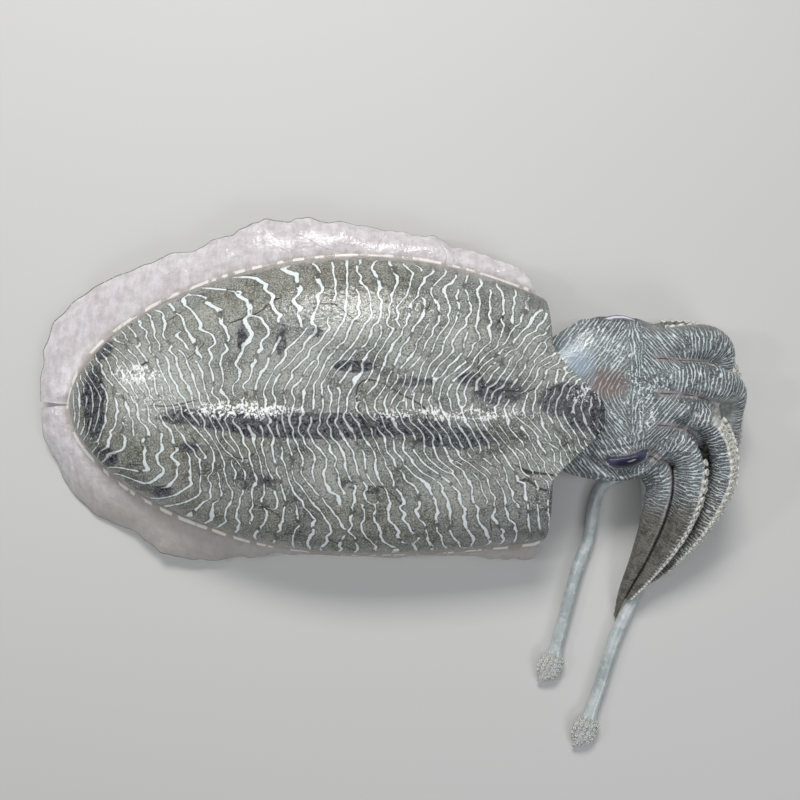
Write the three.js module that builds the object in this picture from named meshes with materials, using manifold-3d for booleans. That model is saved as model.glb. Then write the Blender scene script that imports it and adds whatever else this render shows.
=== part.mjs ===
// A pharaoh cuttlefish, life size, lying on its belly: millimetres, +Z up.
// +X points to the head, +Y to the animal's left. The origin lies on the floor under the middle of the mantle.
import * as THREE from "three";
import { mergeVertices } from "three/addons/utils/BufferGeometryUtils.js";
import Module from "manifold-3d";

const wasm = await Module();
wasm.setup();

// Clearance that touching pieces keep
const GAP = 0.3;

// Mantle: the shield-shaped body
const MANTLE_TAIL_X = -197.5;
const MANTLE_WIDEST_X = 20;
const MANTLE_FRONT_X = 157;
const MANTLE_HALF_WIDTH = 110;
const MANTLE_TAIL_EXPONENT = 1.8;
const FRONT_TAPER_LEFT = 31;
const FRONT_TAPER_RIGHT = 10;
const FIN_LEVEL = 30;
const FIN_LEVEL_DROP_AT_TAIL = 12;
const BACK_RISE = 50;
const BACK_DROP_AT_FRONT = 8;
const BACK_FULLNESS = 2.25;
const BELLY_DEPTH = 36;
const LOBE_LENGTH = 37;
const LOBE_HALF_WIDTH = 47;
const LOBE_CENTRE_Y = -6;
const LOBE_START = 0.7;
const VENTRAL_NOTCH = 7;
const WALL = 6;
const LIP_ROUNDING = 1.6;
const RECESS_X = 147;
const MANTLE_STATIONS = 22;
const BACK_SEGMENTS = 24;
const BELLY_SEGMENTS = 12;

// Fins: how far the edge stands out from the root, where it points and how it waves
const FIN_SINK = 5;
const FIN_ROOT_THICKNESS = 4.4;
const FIN_EDGE_THICKNESS = 1.3;
const FIN_STATIONS = 50;
const FIN_COLUMNS = 3;
const FINS = [
  {
    name: "fin_left",
    side: 1,
    front: 152,
    level: 0,
    // Station along the fin, width, angle below the horizontal in degrees
    shape: [
      [0, 27, 20], [0.04, 34, 20], [0.06, 40, 20], [0.09, 48, 20], [0.12, 48, 19], [0.15, 44, 18],
      [0.21, 35, 16], [0.35, 33, 14], [0.43, 37, 14], [0.5, 36, 15], [0.57, 29, 18], [0.7, 26, 22],
      [0.76, 22, 24], [0.9, 19, 28], [0.96, 15, 30], [1, 8, 30],
    ],

    waves: [[11, 2.2, 0.4], [23, 1.2, 1.9], [5, 1.4, 0]],
    scallops: [[19, 0.9, 0.3], [31, 0.6, 1.1]],
  },
  {
    name: "fin_right",
    side: -1,
    front: 157,
    level: -5,
    shape: [
      [0, 24, 20], [0.04, 31, 22], [0.06, 34, 22], [0.09, 40, 22], [0.12, 42, 20], [0.15, 40, 18],
      [0.19, 35, 18], [0.25, 36, 18], [0.31, 33, 26], [0.38, 28, 42], [0.45, 23, 65], [0.52, 23, 78],
      [0.62, 23, 83], [0.72, 23, 79], [0.84, 24, 66], [0.94, 25, 54], [0.98, 22, 42], [1, 15, 36],
    ],

    waves: [[9, 2.2, 1.0], [21, 1.2, 0.2], [6, 1.2, 2]],
    scallops: [[17, 0.9, 1.3], [29, 0.6, 0.4]],
  },
];

// Head: neck, eye region and the front dome that carries the arms.
// Each station is x, centre y, half width, top, bottom.
const HEAD_STATIONS = [
  [147.3, 0, 41, 57, 13],
  [156, 1, 45, 58, 13],
  [166, 2.5, 49, 58, 13],
  [180, 4, 56, 59, 12.5],
  [196, 5, 60, 60, 12],
  [212, 5, 61, 60.5, 12],
  [228, 5, 58, 60, 12],
  [243, 5.5, 51, 57, 12.5],
  [255, 6, 41, 51, 15],
  [263, 6.5, 26, 43, 22],
];
const HEAD_SIDES = 24;

// Eyes: an oval ball under a lid rim
const EYE_HALF_LENGTH = 17;
const EYE_HALF_HEIGHT = 9.5;
const EYE_DEPTH = 9;
const EYES = [
  { name: "eye_right", centre: [214, -39, 48.5], outward: [0.05, -0.5, 0.86], along: [1, 0.12, 0.02] },
  { name: "eye_left", centre: [205, 58, 41], outward: [0, 0.96, 0.28], along: [1, 0, 0] },
];
const LID_THICKNESS = 3.0;
const LID_REACH = 1.06;

// Funnel under the neck
const FUNNEL_STATIONS = [
  [147.3, 0, 25, 6.3, 11],
  [156, 0, 23, 6, 11.6],
  [166, 0, 19, 1.2, 11.6],
  [178, 0, 14, 1.2, 11.2],
  [190, 0, 10.5, 1.5, 10.8],
];
const FUNNEL_BORE = 0.6;
const FUNNEL_BORE_DEPTH = 9;
const FUNNEL_SIDES = 16;

// Arms: sucker spacing in sucker radii, the half width at the root, how late the arm thins,
// the side that the suckers face, where the arm is divided and its centre line
const ARM_FLATNESS = 0.78;
const ARM_TIP_HALF_WIDTH = 1.7;
const ARM_SIDES = 8;
const ARM_STEP = 10;
const ARMS = [
  {
    name: "arm_1_right",
    pitch: 5.4,
    root: 12.8,
    taper: 2,
    oral: [0.65, -0.3, -0.65],
    splits: [0.22, 0.58],
    path: [
      [236, -2, 45], [260, -5, 48], [275, -14, 48], [285, -36, 46], [286, -54, 43], [281, -73, 38],
      [272, -93, 32], [262, -110, 25], [252, -125, 18], [240, -137, 11],
    ],
  },
  {
    name: "arm_2_right",
    pitch: 5.6,
    root: 13,
    taper: 2,
    oral: [0.65, -0.25, -0.65],
    splits: [0.38],
    path: [
      [236, -22, 42], [252, -29, 45], [261, -41, 45], [262, -63, 42], [256.5, -88, 35], [246.5, -112, 27],
      [226, -149, 12.5],
    ],
  },
  {
    name: "arm_3_right",
    pitch: 11,
    root: 12.6,
    taper: 1.4,
    oral: [0.6, -0.2, -0.75],
    splits: [0.38],
    path: [
      [228, -34, 34], [241, -50, 33], [245, -61, 31], [241, -86, 26], [232, -117.6, 18], [223, -144, 9.5],
      [218.4, -165, 3.2],
    ],
  },
  {
    name: "arm_1_left",
    pitch: 9,
    root: 12.8,
    taper: 1.8,
    oral: [-0.3, 0, -1],
    splits: [0.26, 0.56],
    path: [
      [236, 19, 45], [262, 18, 48], [283, 15, 46], [295, 9, 38], [297, -6, 29], [295, -28, 25],
      [289, -56, 22.5], [281, -80, 19], [270, -102, 13], [262, -116, 8.5],
    ],
  },
  {
    name: "arm_2_left",
    pitch: 9,
    root: 13.2,
    taper: 1.6,
    oral: [-0.3, 0, -1],
    splits: [0.2, 0.5],
    path: [
      [236, 41, 39], [258, 45, 42], [276, 46, 40], [288, 39, 32.5], [288, 22, 26.5], [281, 2, 25],
      [275, -18, 25], [269, -42, 24], [264, -70, 20], [256, -95, 15], [250, -112, 10],
    ],
  },
  {
    name: "arm_4_right",
    pitch: 12,
    root: 11.5,
    taper: 1.6,
    oral: [0.2, 0, 1],
    splits: [0.45],
    path: [[234, -10, 20], [254, -22, 13], [262, -48, 8.5], [259, -74, 7.5], [252, -96, 6.3], [247, -114, 3.4]],
  },
  {
    name: "arm_4_left",
    pitch: 12,
    root: 11.5,
    taper: 1.6,
    oral: [0.2, 0, 1],
    splits: [0.3, 0.6],
    path: [
      [236, 20, 20], [262, 19, 12], [279, 2, 8.5], [284, -25, 8], [281, -50, 8], [272, -75, 7],
      [261, -96, 6], [252, -113, 3.4],
    ],
  },
  {
    name: "arm_3_left",
    pitch: 12,
    root: 12,
    taper: 1.6,
    oral: [-0.4, 0, 1],
    splits: [0.3, 0.62],
    path: [
      [234, 46, 26], [257, 52, 15], [281, 49, 10], [301, 25, 9], [305, -8, 9], [304, -36, 8],
      [294, -66, 7], [278, -97, 6], [264, -115, 3.4],
    ],
  },
];

// Tentacles: stalk, then the club with its keel
const STALK_HALF_WIDTH = 4.7;
const STALK_SIDES = 9;
const STALK_STEP = 10;
const CLUB_HALF_WIDTH = 9;
const CLUB_HALF_THICKNESS = 4.2;
const CLUB_STATIONS = 11;
const CLUB_SIDES = 10;
const TENTACLES = [
  {
    name: "tentacle_right",
    splits: [0.3, 0.64],
    path: [
      [230, -26, 21], [247, -37, 17], [239, -46, 8], [223, -54, 5.4], [207.5, -64, 5.2], [202, -78, 5.2],
      [197.5, -104, 5.2], [191, -121, 5.2], [184, -145, 5.2], [177, -171, 5.2], [172.5, -188, 5.2],
    ],
    club: [[172.5, -188, 5.2], [169.5, -198, 5.2], [164.5, -207, 5], [158.6, -214.8, 4.4]],
  },
  {
    name: "tentacle_left",
    splits: [0.4, 0.7],
    path: [
      [226, 34, 19], [247, 38, 12], [241, 31, 6.5], [232, 12, 5.2], [231, -16, 5.2], [240, -48, 5.2],
      [243, -75, 5.2], [240, -102, 5.2], [237, -124, 5.2], [236, -142, 5.2], [228, -158, 5.2],
      [217, -184, 5.2], [206, -219, 5.2], [199.5, -237, 5.2],
    ],
    club: [[199.5, -237, 5.2], [196.5, -247, 5.2], [191.5, -256.5, 5], [185.6, -265, 4.4]],
  },
];

// Suckers: low cups in two staggered rows along the edges of each arm's inner side
const SUCKER_SIDES = 5;
const SUCKER_SHARE = 0.27;
const SUCKER_SMALLEST = 1.3;
const SUCKER_HEIGHT = 0.95;
const SUCKER_SINK = 0.9;
const SUCKER_DIP = 0.5;
const SUCKER_ROW_ANGLE = 42;
const SUCKER_JITTER = 0.12;
const SUCKER_KEPT = 0.72;
const SUCKER_FLOOR_CLEARANCE = 0.3;
const CLUB_SUCKER_RADIUS = 1.5;

// Mouth between the arm roots: lip, groove and beak as radius and distance along the axis
const MOUTH_PLACE = [266.6, 5, 32];
const MOUTH_PROFILE = [[0, 0], [8.2, 0], [8.6, 1.6], [7.6, 3.4], [5.6, 4], [4.2, 3.2], [3.2, 3.4], [1.6, 5.2], [0, 6.4]];
const MOUTH_SIDES = 14;

// Colours of the plain nodes
const SKIN_COLOUR = 0x85857a;
const FIN_COLOUR = 0xcfc8c6;
const PALE_COLOUR = 0xc9c4bc;
const EYE_COLOUR = 0x1c2034;

// Numbers and curves
const clamp = (value, low, high) => Math.min(Math.max(value, low), high);
const mix = (a, b, t) => a + (b - a) * t;
const smooth = (t) => {
  const k = clamp(t, 0, 1);
  return k * k * (3 - 2 * k);
};

// Value at t in a table of rows, the first number of each row being its place
function tableAt(rows, t, column) {
  let index = 0;
  while (index < rows.length - 2 && rows[index + 1][0] < t) index += 1;
  const before = rows[index];
  const after = rows[index + 1];
  const k = smooth((t - before[0]) / (after[0] - before[0]));
  return mix(before[column], after[column], k);
}

const waveSum = (waves, t) =>
  waves.reduce((sum, [count, size, phase]) => sum + size * Math.sin(Math.PI * count * t + phase), 0);

// Closed body from rings of points with the same count, capped by a fan at both ends
function loft(rings, firstPole, lastPole) {
  const sides = rings[0].length;
  const positions = [];
  const indices = [];
  rings.flat().forEach((point) => positions.push(point.x, point.y, point.z));
  for (let ring = 0; ring < rings.length - 1; ring += 1) {
    for (let side = 0; side < sides; side += 1) {
      const a = ring * sides + side;
      const b = ring * sides + ((side + 1) % sides);
      indices.push(a, b, a + sides, b, b + sides, a + sides);
    }
  }
  const first = positions.length / 3;
  positions.push(firstPole.x, firstPole.y, firstPole.z, lastPole.x, lastPole.y, lastPole.z);
  const lastRing = (rings.length - 1) * sides;
  for (let side = 0; side < sides; side += 1) {
    const next = (side + 1) % sides;
    indices.push(first, next, side);
    indices.push(first + 1, lastRing + side, lastRing + next);
  }
  const geometry = new THREE.BufferGeometry();
  geometry.setAttribute("position", new THREE.Float32BufferAttribute(positions, 3));
  geometry.setIndex(indices);
  return geometry;
}

const middle = (ring) =>
  ring.reduce((sum, point) => sum.add(point), new THREE.Vector3()).divideScalar(ring.length);

// Solids for joining and cutting
function toSolid(geometry) {
  const bare = new THREE.BufferGeometry();
  bare.setAttribute("position", geometry.getAttribute("position"));
  bare.setIndex(geometry.getIndex());
  const merged = mergeVertices(bare, 1e-4);
  const solid = new wasm.Manifold(
    new wasm.Mesh({
      numProp: 3,
      vertProperties: new Float32Array(merged.getAttribute("position").array),
      triVerts: new Uint32Array(merged.getIndex().array),
    }),
  );
  if (solid.volume() >= 0) return solid;
  const index = merged.getIndex().array;
  for (let i = 0; i < index.length; i += 3) [index[i], index[i + 1]] = [index[i + 1], index[i]];
  return new wasm.Manifold(
    new wasm.Mesh({
      numProp: 3,
      vertProperties: new Float32Array(merged.getAttribute("position").array),
      triVerts: new Uint32Array(index),
    }),
  );
}

const largest = (solid) =>
  solid.decompose().reduce((best, piece) => (piece.volume() > best.volume() ? piece : best));

function toGeometry(solid) {
  const mesh = solid.getMesh();
  const geometry = new THREE.BufferGeometry();
  geometry.setAttribute("position", new THREE.BufferAttribute(new Float32Array(mesh.vertProperties), 3));
  geometry.setIndex(new THREE.BufferAttribute(new Uint32Array(mesh.triVerts), 1));
  geometry.computeVertexNormals();
  return geometry;
}

// Mantle

function mantleHalfWidth(x, side) {
  if (x < MANTLE_WIDEST_X) {
    const u = clamp((MANTLE_WIDEST_X - x) / (MANTLE_WIDEST_X - MANTLE_TAIL_X), 0, 1);
    return MANTLE_HALF_WIDTH * (1 - u ** MANTLE_TAIL_EXPONENT) ** (1 / MANTLE_TAIL_EXPONENT);
  }
  const v = (x - MANTLE_WIDEST_X) / (MANTLE_FRONT_X - MANTLE_WIDEST_X);
  const taper = side > 0 ? FRONT_TAPER_LEFT : FRONT_TAPER_RIGHT;
  return MANTLE_HALF_WIDTH - taper * v * v;
}

const tailShare = (x) => clamp((MANTLE_WIDEST_X - x) / (MANTLE_WIDEST_X - MANTLE_TAIL_X), 0, 1);
const finLevel = (x) => FIN_LEVEL - FIN_LEVEL_DROP_AT_TAIL * tailShare(x) ** 2;

function mantleBackRise(x) {
  const width = mantleHalfWidth(Math.min(x, MANTLE_WIDEST_X), 1) / MANTLE_HALF_WIDTH;
  const front = clamp((x - MANTLE_WIDEST_X) / (MANTLE_FRONT_X - MANTLE_WIDEST_X), 0, 1.3);
  return BACK_RISE * width ** 0.75 - BACK_DROP_AT_FRONT * front ** 2;
}

function mantleBellyDepth(x) {
  const width = mantleHalfWidth(Math.min(x, MANTLE_WIDEST_X), 1) / MANTLE_HALF_WIDTH;
  return BELLY_DEPTH * width ** 0.6;
}

// Point on the mantle's skin at x and an angle from the left side over the back, moved out by grow
function mantlePoint(x, angle, grow) {
  const across = Math.cos(angle);
  const up = Math.sin(angle);
  const width = mantleHalfWidth(x, across) + grow;
  if (up >= 0) {
    const power = 2 / BACK_FULLNESS;
    const y = width * Math.sign(across) * Math.abs(across) ** power;
    return new THREE.Vector3(x, y, finLevel(x) + (mantleBackRise(x) + grow) * up ** power);
  }
  const z = finLevel(x) + (mantleBellyDepth(x) + grow) * up;
  return new THREE.Vector3(x, width * across, Math.max(z, -grow));
}

// How far the front edge stands before or behind MANTLE_FRONT_X at an angle
function frontShift(angle) {
  const up = Math.sin(angle);
  if (up < 0) return -VENTRAL_NOTCH * up * up;
  const across = Math.cos(angle);
  const half = mantleHalfWidth(MANTLE_FRONT_X, across);
  const offset = Math.abs(half * across - LOBE_CENTRE_Y) / LOBE_HALF_WIDTH;
  return offset < 1 ? LOBE_LENGTH * Math.cos((Math.PI / 2) * offset) ** 1.7 : 0;
}

// Angles round the mantle, closer together over the back
const mantleAngles = [
  ...Array.from({ length: BACK_SEGMENTS }, (_, index) => (Math.PI * index) / BACK_SEGMENTS),
  ...Array.from({ length: BELLY_SEGMENTS }, (_, index) => Math.PI * (1 + index / BELLY_SEGMENTS)),
];

function mantleOuterRings(grow) {
  const rings = [];
  for (let station = 1; station <= MANTLE_STATIONS; station += 1) {
    const t = station / MANTLE_STATIONS;
    const eased = t < 0.35 ? 0.35 * (t / 0.35) ** 1.7 : t;
    const slide = smooth((t - LOBE_START) / (1 - LOBE_START));
    rings.push(
      mantleAngles.map((angle) => {
        const x = mix(MANTLE_TAIL_X, MANTLE_FRONT_X, eased) + frontShift(angle) * slide;
        return mantlePoint(x, angle, grow);
      }),
    );
  }
  return rings;
}

const mantleTail = (grow) =>
  new THREE.Vector3(MANTLE_TAIL_X - grow, 0, finLevel(MANTLE_TAIL_X));

function mantleBlock(grow) {
  const rings = mantleOuterRings(grow);
  rings.push(rings.at(-1).map((point) => new THREE.Vector3(point.x + LIP_ROUNDING + grow, point.y, point.z)));
  return toSolid(loft(rings, mantleTail(grow), middle(rings.at(-1))));
}

// The rim turns in and the opening runs back over the neck
function mantleSolid() {
  const rings = mantleOuterRings(0);
  const lip = rings.at(-1);
  const insetRing = (inset, forward) =>
    lip.map((point, index) => {
      const inner = mantlePoint(point.x, mantleAngles[index], -inset);
      return new THREE.Vector3(point.x + forward, inner.y, Math.max(inner.z, inset));
    });
  rings.push(insetRing(WALL * 0.3, LIP_ROUNDING), insetRing(WALL * 0.75, LIP_ROUNDING * 0.7));
  [0, 0.5, 1].forEach((back) => {
    rings.push(insetRing(WALL, 0).map((point) => new THREE.Vector3(mix(point.x, RECESS_X, back), point.y, point.z)));
  });
  return toSolid(loft(rings, mantleTail(0), middle(rings.at(-1))));
}

// Fins

// Root line on the mantle's side from the tail to the front, with the direction straight out
function finRoot(fin, t) {
  const span = fin.front - MANTLE_TAIL_X;
  const eased = t < 0.2 ? 0.2 * (t / 0.2) ** 1.8 : t;
  const x = MANTLE_TAIL_X + 0.1 + span * eased;
  const at = (place) => {
    const half = mantleHalfWidth(place, fin.side) * fin.side;
    return new THREE.Vector3(place, half, finLevel(place) + fin.level * smooth(t / 0.3));
  };
  const step = at(x + 0.4).sub(at(x - 0.4 < MANTLE_TAIL_X ? MANTLE_TAIL_X : x - 0.4));
  const out = new THREE.Vector3(-step.y * fin.side, step.x * fin.side, 0).normalize();
  return { point: at(x), out };
}

function finSolid(fin) {
  const rings = [];
  for (let station = 0; station <= FIN_STATIONS; station += 1) {
    const t = station / FIN_STATIONS;
    const { point, out } = finRoot(fin, t);
    const width = tableAt(fin.shape, t, 1) + waveSum(fin.scallops, t) * smooth(t * 8) * smooth((1 - t) * 8);
    const droop = THREE.MathUtils.degToRad(tableAt(fin.shape, t, 2));
    const ray = out.clone().multiplyScalar(Math.cos(droop)).add(new THREE.Vector3(0, 0, -Math.sin(droop)));
    const face = out.clone().multiplyScalar(Math.sin(droop)).add(new THREE.Vector3(0, 0, Math.cos(droop)));
    const top = [];
    const under = [];
    for (let column = 0; column <= FIN_COLUMNS; column += 1) {
      const k = column / FIN_COLUMNS;
      const reach = mix(-FIN_SINK, width, k);
      const lift = waveSum(fin.waves, t) * k * k + 3 * Math.sin(Math.PI * k);
      const half = mix(FIN_ROOT_THICKNESS, FIN_EDGE_THICKNESS, k ** 0.8) / 2;
      const place = point.clone().addScaledVector(ray, reach).addScaledVector(face, lift);
      place.z = Math.max(place.z, half + 0.4);
      top.push(place.clone().addScaledVector(face, half));
      under.unshift(place.clone().addScaledVector(face, -half));
    }
    rings.push([...top, ...under]);
  }
  return toSolid(loft(rings, middle(rings[0]), middle(rings.at(-1))));
}

// Head, eyes and funnel

function ovalRings(stations, sides, grow) {
  return stations.map(([x, centre, half, top, bottom]) => {
    const ring = [];
    for (let side = 0; side < sides; side += 1) {
      const angle = (2 * Math.PI * side) / sides;
      const y = centre + (half + grow) * Math.cos(angle);
      const z = (top + bottom) / 2 + ((top - bottom) / 2 + grow) * Math.sin(angle);
      ring.push(new THREE.Vector3(x, y, z));
    }
    return ring;
  });
}

function stationsBetween(stations, count) {
  const rows = [];
  const columns = stations[0].length;
  const curves = Array.from({ length: columns }, (_, column) => stations.map((row) => row[column]));
  for (let index = 0; index < count; index += 1) {
    const place = (index / (count - 1)) * (stations.length - 1);
    const whole = Math.min(Math.floor(place), stations.length - 2);
    const k = place - whole;
    rows.push(
      curves.map((values) => {
        const before = values[Math.max(whole - 1, 0)];
        const after = values[Math.min(whole + 2, values.length - 1)];
        return THREE.MathUtils.clamp(
          catmullRom(k, before, values[whole], values[whole + 1], after),
          Math.min(values[whole], values[whole + 1]) - 1,
          Math.max(values[whole], values[whole + 1]) + 1,
        );
      }),
    );
  }
  return rows;
}

function catmullRom(t, a, b, c, d) {
  const first = (c - a) / 2;
  const second = (d - b) / 2;
  return (2 * b - 2 * c + first + second) * t ** 3 + (-3 * b + 3 * c - 2 * first - second) * t ** 2 + first * t + b;
}

function headBlock(grow) {
  const rings = ovalRings(stationsBetween(HEAD_STATIONS, 14), HEAD_SIDES, grow);
  const front = middle(rings.at(-1)).add(new THREE.Vector3(3 + grow, 0, 0));
  return toSolid(loft(rings, middle(rings[0]), front));
}

// Frame of an eye: along its slit, up over the lid and straight out
function eyeFrame(eye) {
  const out = new THREE.Vector3(...eye.outward).normalize();
  const along = new THREE.Vector3(...eye.along).addScaledVector(out, -out.dot(new THREE.Vector3(...eye.along)));
  along.normalize();
  const up = new THREE.Vector3().crossVectors(out, along);
  const frame = new THREE.Matrix4().makeBasis(along, up, out);
  return frame.setPosition(new THREE.Vector3(...eye.centre));
}

function eyeBall(eye, grow) {
  const ball = new THREE.SphereGeometry(1, 16, 9);
  ball.scale(EYE_HALF_LENGTH + grow, EYE_HALF_HEIGHT + grow, EYE_DEPTH + grow);
  return toSolid(ball.applyMatrix4(eyeFrame(eye)));
}

// Lid: an oval ring of flesh that stands round the ball
function eyeLid(eye) {
  const points = [];
  const count = 18;
  for (let index = 0; index < count; index += 1) {
    const angle = (2 * Math.PI * index) / count;
    points.push([
      EYE_HALF_LENGTH * LID_REACH * Math.cos(angle),
      EYE_HALF_HEIGHT * LID_REACH * Math.sin(angle),
      EYE_DEPTH * 0.3,
    ]);
  }
  const ring = points.map((point) => new THREE.Vector3(...point));
  const curve = new THREE.CatmullRomCurve3(ring, true);
  const tube = new THREE.TubeGeometry(curve, 18, LID_THICKNESS, 5, true);
  return toSolid(tube.applyMatrix4(eyeFrame(eye)));
}

function headSolid() {
  let head = headBlock(0);
  EYES.forEach((eye) => {
    head = head.add(eyeLid(eye));
  });
  EYES.forEach((eye) => {
    head = head.subtract(eyeBall(eye, GAP));
  });
  return largest(head);
}

function funnelSolid() {
  const stations = stationsBetween(FUNNEL_STATIONS, 7);
  const rings = ovalRings(stations, FUNNEL_SIDES, 0);
  const outer = rings.at(-1);
  const centre = middle(outer);
  const scaled = (share, back) =>
    outer.map((point) => point.clone().sub(centre).multiplyScalar(share).add(centre).add(new THREE.Vector3(-back, 0, 0)));
  rings.push(scaled(0.86, -0.8), scaled(FUNNEL_BORE, 0.5), scaled(FUNNEL_BORE * 0.8, FUNNEL_BORE_DEPTH));
  return toSolid(loft(rings, middle(rings[0]), middle(rings.at(-1))));
}

// Arms and tentacles

const curveOf = (path) =>
  new THREE.CatmullRomCurve3(path.map((point) => new THREE.Vector3(...point)), false, "centripetal");

// Frames along part of a curve: point, direction, side and the way the suckers face
function framesAlong(curve, oral, from, to, count) {
  const wanted = new THREE.Vector3(...oral);
  return Array.from({ length: count }, (_, index) => {
    const u = mix(from, to, index / (count - 1));
    const direction = curve.getTangentAt(u);
    const facing = wanted.clone().addScaledVector(direction, -wanted.dot(direction)).normalize();
    const side = new THREE.Vector3().crossVectors(direction, facing);
    return { u, point: curve.getPointAt(u), direction, facing, side };
  });
}

// Tube whose half width and half thickness come from a function of the place along the curve
function tubeSolid(frames, sizeAt, sides, grow) {
  const rings = frames.map(({ u, point, facing, side }) => {
    const [half, thick] = sizeAt(u);
    return Array.from({ length: sides }, (_, index) => {
      const angle = (2 * Math.PI * (index + 0.5)) / sides;
      return point
        .clone()
        .addScaledVector(side, (half + grow) * Math.cos(angle))
        .addScaledVector(facing, (thick + grow) * Math.sin(angle));
    });
  });
  return toSolid(loft(rings, frames[0].point, frames.at(-1).point));
}

function armSize(arm, u) {
  const half = mix(arm.root, ARM_TIP_HALF_WIDTH, u ** arm.taper);
  return [half, half * ARM_FLATNESS];
}

// Nodes of one limb: its lengths between the splits, each starting a gap past the one before
function tubeNodes(curve, oral, splits, sizeAt, sides, step, names) {
  const ends = [0, ...splits, 1];
  return names.map((name, index) => {
    const count = Math.max(Math.ceil(((ends[index + 1] - ends[index]) * curve.getLength()) / step), 4) + 1;
    const frames = framesAlong(curve, oral, ends[index], ends[index + 1], count);
    if (index > 0) frames[0].point.addScaledVector(frames[0].direction, GAP);
    const solid = tubeSolid(frames, sizeAt, sides, 0);
    const grown = tubeSolid(frames, sizeAt, sides, GAP);
    return { name, solid, grown, curve, oral, sizeAt, from: ends[index], to: ends[index + 1] };
  });
}

function armNodes(arm) {
  const names = [`${arm.name}_base`, ...arm.splits.slice(1).map(() => `${arm.name}_middle`), `${arm.name}_tip`];
  return tubeNodes(curveOf(arm.path), arm.oral, arm.splits, (u) => armSize(arm, u), ARM_SIDES, ARM_STEP, names);
}

function stalkNodes(tentacle) {
  const names = tentacle.splits.concat(1).map((_, index) => `${tentacle.name}_stalk_${index + 1}`);
  const size = () => [STALK_HALF_WIDTH, STALK_HALF_WIDTH];
  return tubeNodes(curveOf(tentacle.path), [0, 0, 1], tentacle.splits, size, STALK_SIDES, STALK_STEP, names);
}

function clubSize(u) {
  const swell = Math.sin(Math.PI * clamp(u * 0.82 + 0.1, 0, 1)) ** 0.8;
  const half = mix(STALK_HALF_WIDTH, CLUB_HALF_WIDTH, swell) * (1 - smooth((u - 0.62) / 0.38) * 0.82);
  return [half, Math.min(half, CLUB_HALF_THICKNESS)];
}

function clubNode(tentacle) {
  const curve = curveOf(tentacle.club);
  const frames = framesAlong(curve, [0, 0, 1], 0, 1, CLUB_STATIONS);
  const root = curveOf(tentacle.path);
  frames[0].direction.copy(root.getTangentAt(1));
  frames[0].side.crossVectors(frames[0].direction, frames[0].facing).normalize();
  frames[0].point.addScaledVector(frames[0].direction, GAP);
  const solid = tubeSolid(frames, clubSize, CLUB_SIDES, 0);
  const grown = tubeSolid(frames, clubSize, CLUB_SIDES, GAP);
  const suckers = { start: 5, length: curve.getLength(), pitch: 5, radiusAt: () => CLUB_SUCKER_RADIUS };
  return {
    name: `${tentacle.name}_club`,
    solid,
    grown,
    curve,
    oral: [0, 0, 1],
    sizeAt: clubSize,
    from: 0,
    to: 0.94,
    suckers,
  };
}

function mouthSolid(grow) {
  const profile = MOUTH_PROFILE.map(
    ([radius, along]) => new THREE.Vector2(radius > 0 ? radius + grow : 0, along > 0 ? along + grow : -grow),
  );
  const turned = new THREE.LatheGeometry(profile, MOUTH_SIDES).rotateZ(-Math.PI / 2);
  return toSolid(turned.translate(...MOUTH_PLACE));
}

// Suckers

let seed = 20117;
function random() {
  seed = (seed * 1103515245 + 12345) % 2147483648;
  return seed / 2147483648;
}

// Cup standing on a surface point, its root sunk below the surface
function suckerSolid(place, outward, radius, grow) {
  const turn = new THREE.Quaternion().setFromUnitVectors(new THREE.Vector3(0, 0, 1), outward);
  const ringAt = (share, height) =>
    Array.from({ length: SUCKER_SIDES }, (_, index) => {
      const angle = (2 * Math.PI * index) / SUCKER_SIDES;
      const reach = radius * share + grow;
      const point = new THREE.Vector3(reach * Math.cos(angle), reach * Math.sin(angle), height);
      return point.applyQuaternion(turn).add(place);
    });
  const top = radius * SUCKER_HEIGHT + grow;
  const dip = place.clone().addScaledVector(outward, top - radius * SUCKER_DIP);
  const root = place.clone().addScaledVector(outward, -radius * SUCKER_SINK - grow);
  return toSolid(loft([ringAt(0.7, -radius * SUCKER_SINK - grow), ringAt(1, top)], root, dip));
}

// Places of the suckers along one length: surface point, outward direction and radius
function suckerPlaces(limb) {
  const places = [];
  let distance = limb.suckers.start;
  let row = 0;
  while (distance < limb.suckers.length) {
    const u = distance / limb.suckers.length;
    const [half, thick] = limb.sizeAt(u);
    const radius = limb.suckers.radiusAt(half) * (1 + SUCKER_JITTER * (2 * random() - 1));
    if (u > limb.from + radius / limb.suckers.length && u < limb.to - radius / limb.suckers.length) {
      const [frame] = framesAlong(limb.curve, limb.oral, u, u, 2);
      const angle = THREE.MathUtils.degToRad(90 + (row % 2 ? 1 : -1) * SUCKER_ROW_ANGLE);
      const outward = frame.side.clone().multiplyScalar(Math.cos(angle) / half);
      outward.addScaledVector(frame.facing, Math.sin(angle) / thick).normalize();
      const place = frame.point.clone().addScaledVector(frame.side, half * 0.97 * Math.cos(angle));
      place.addScaledVector(frame.facing, thick * 0.97 * Math.sin(angle));
      places.push({ place, outward, radius });
    }
    distance += radius * limb.suckers.pitch * 0.5;
    row += 1;
  }
  return places;
}

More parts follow.
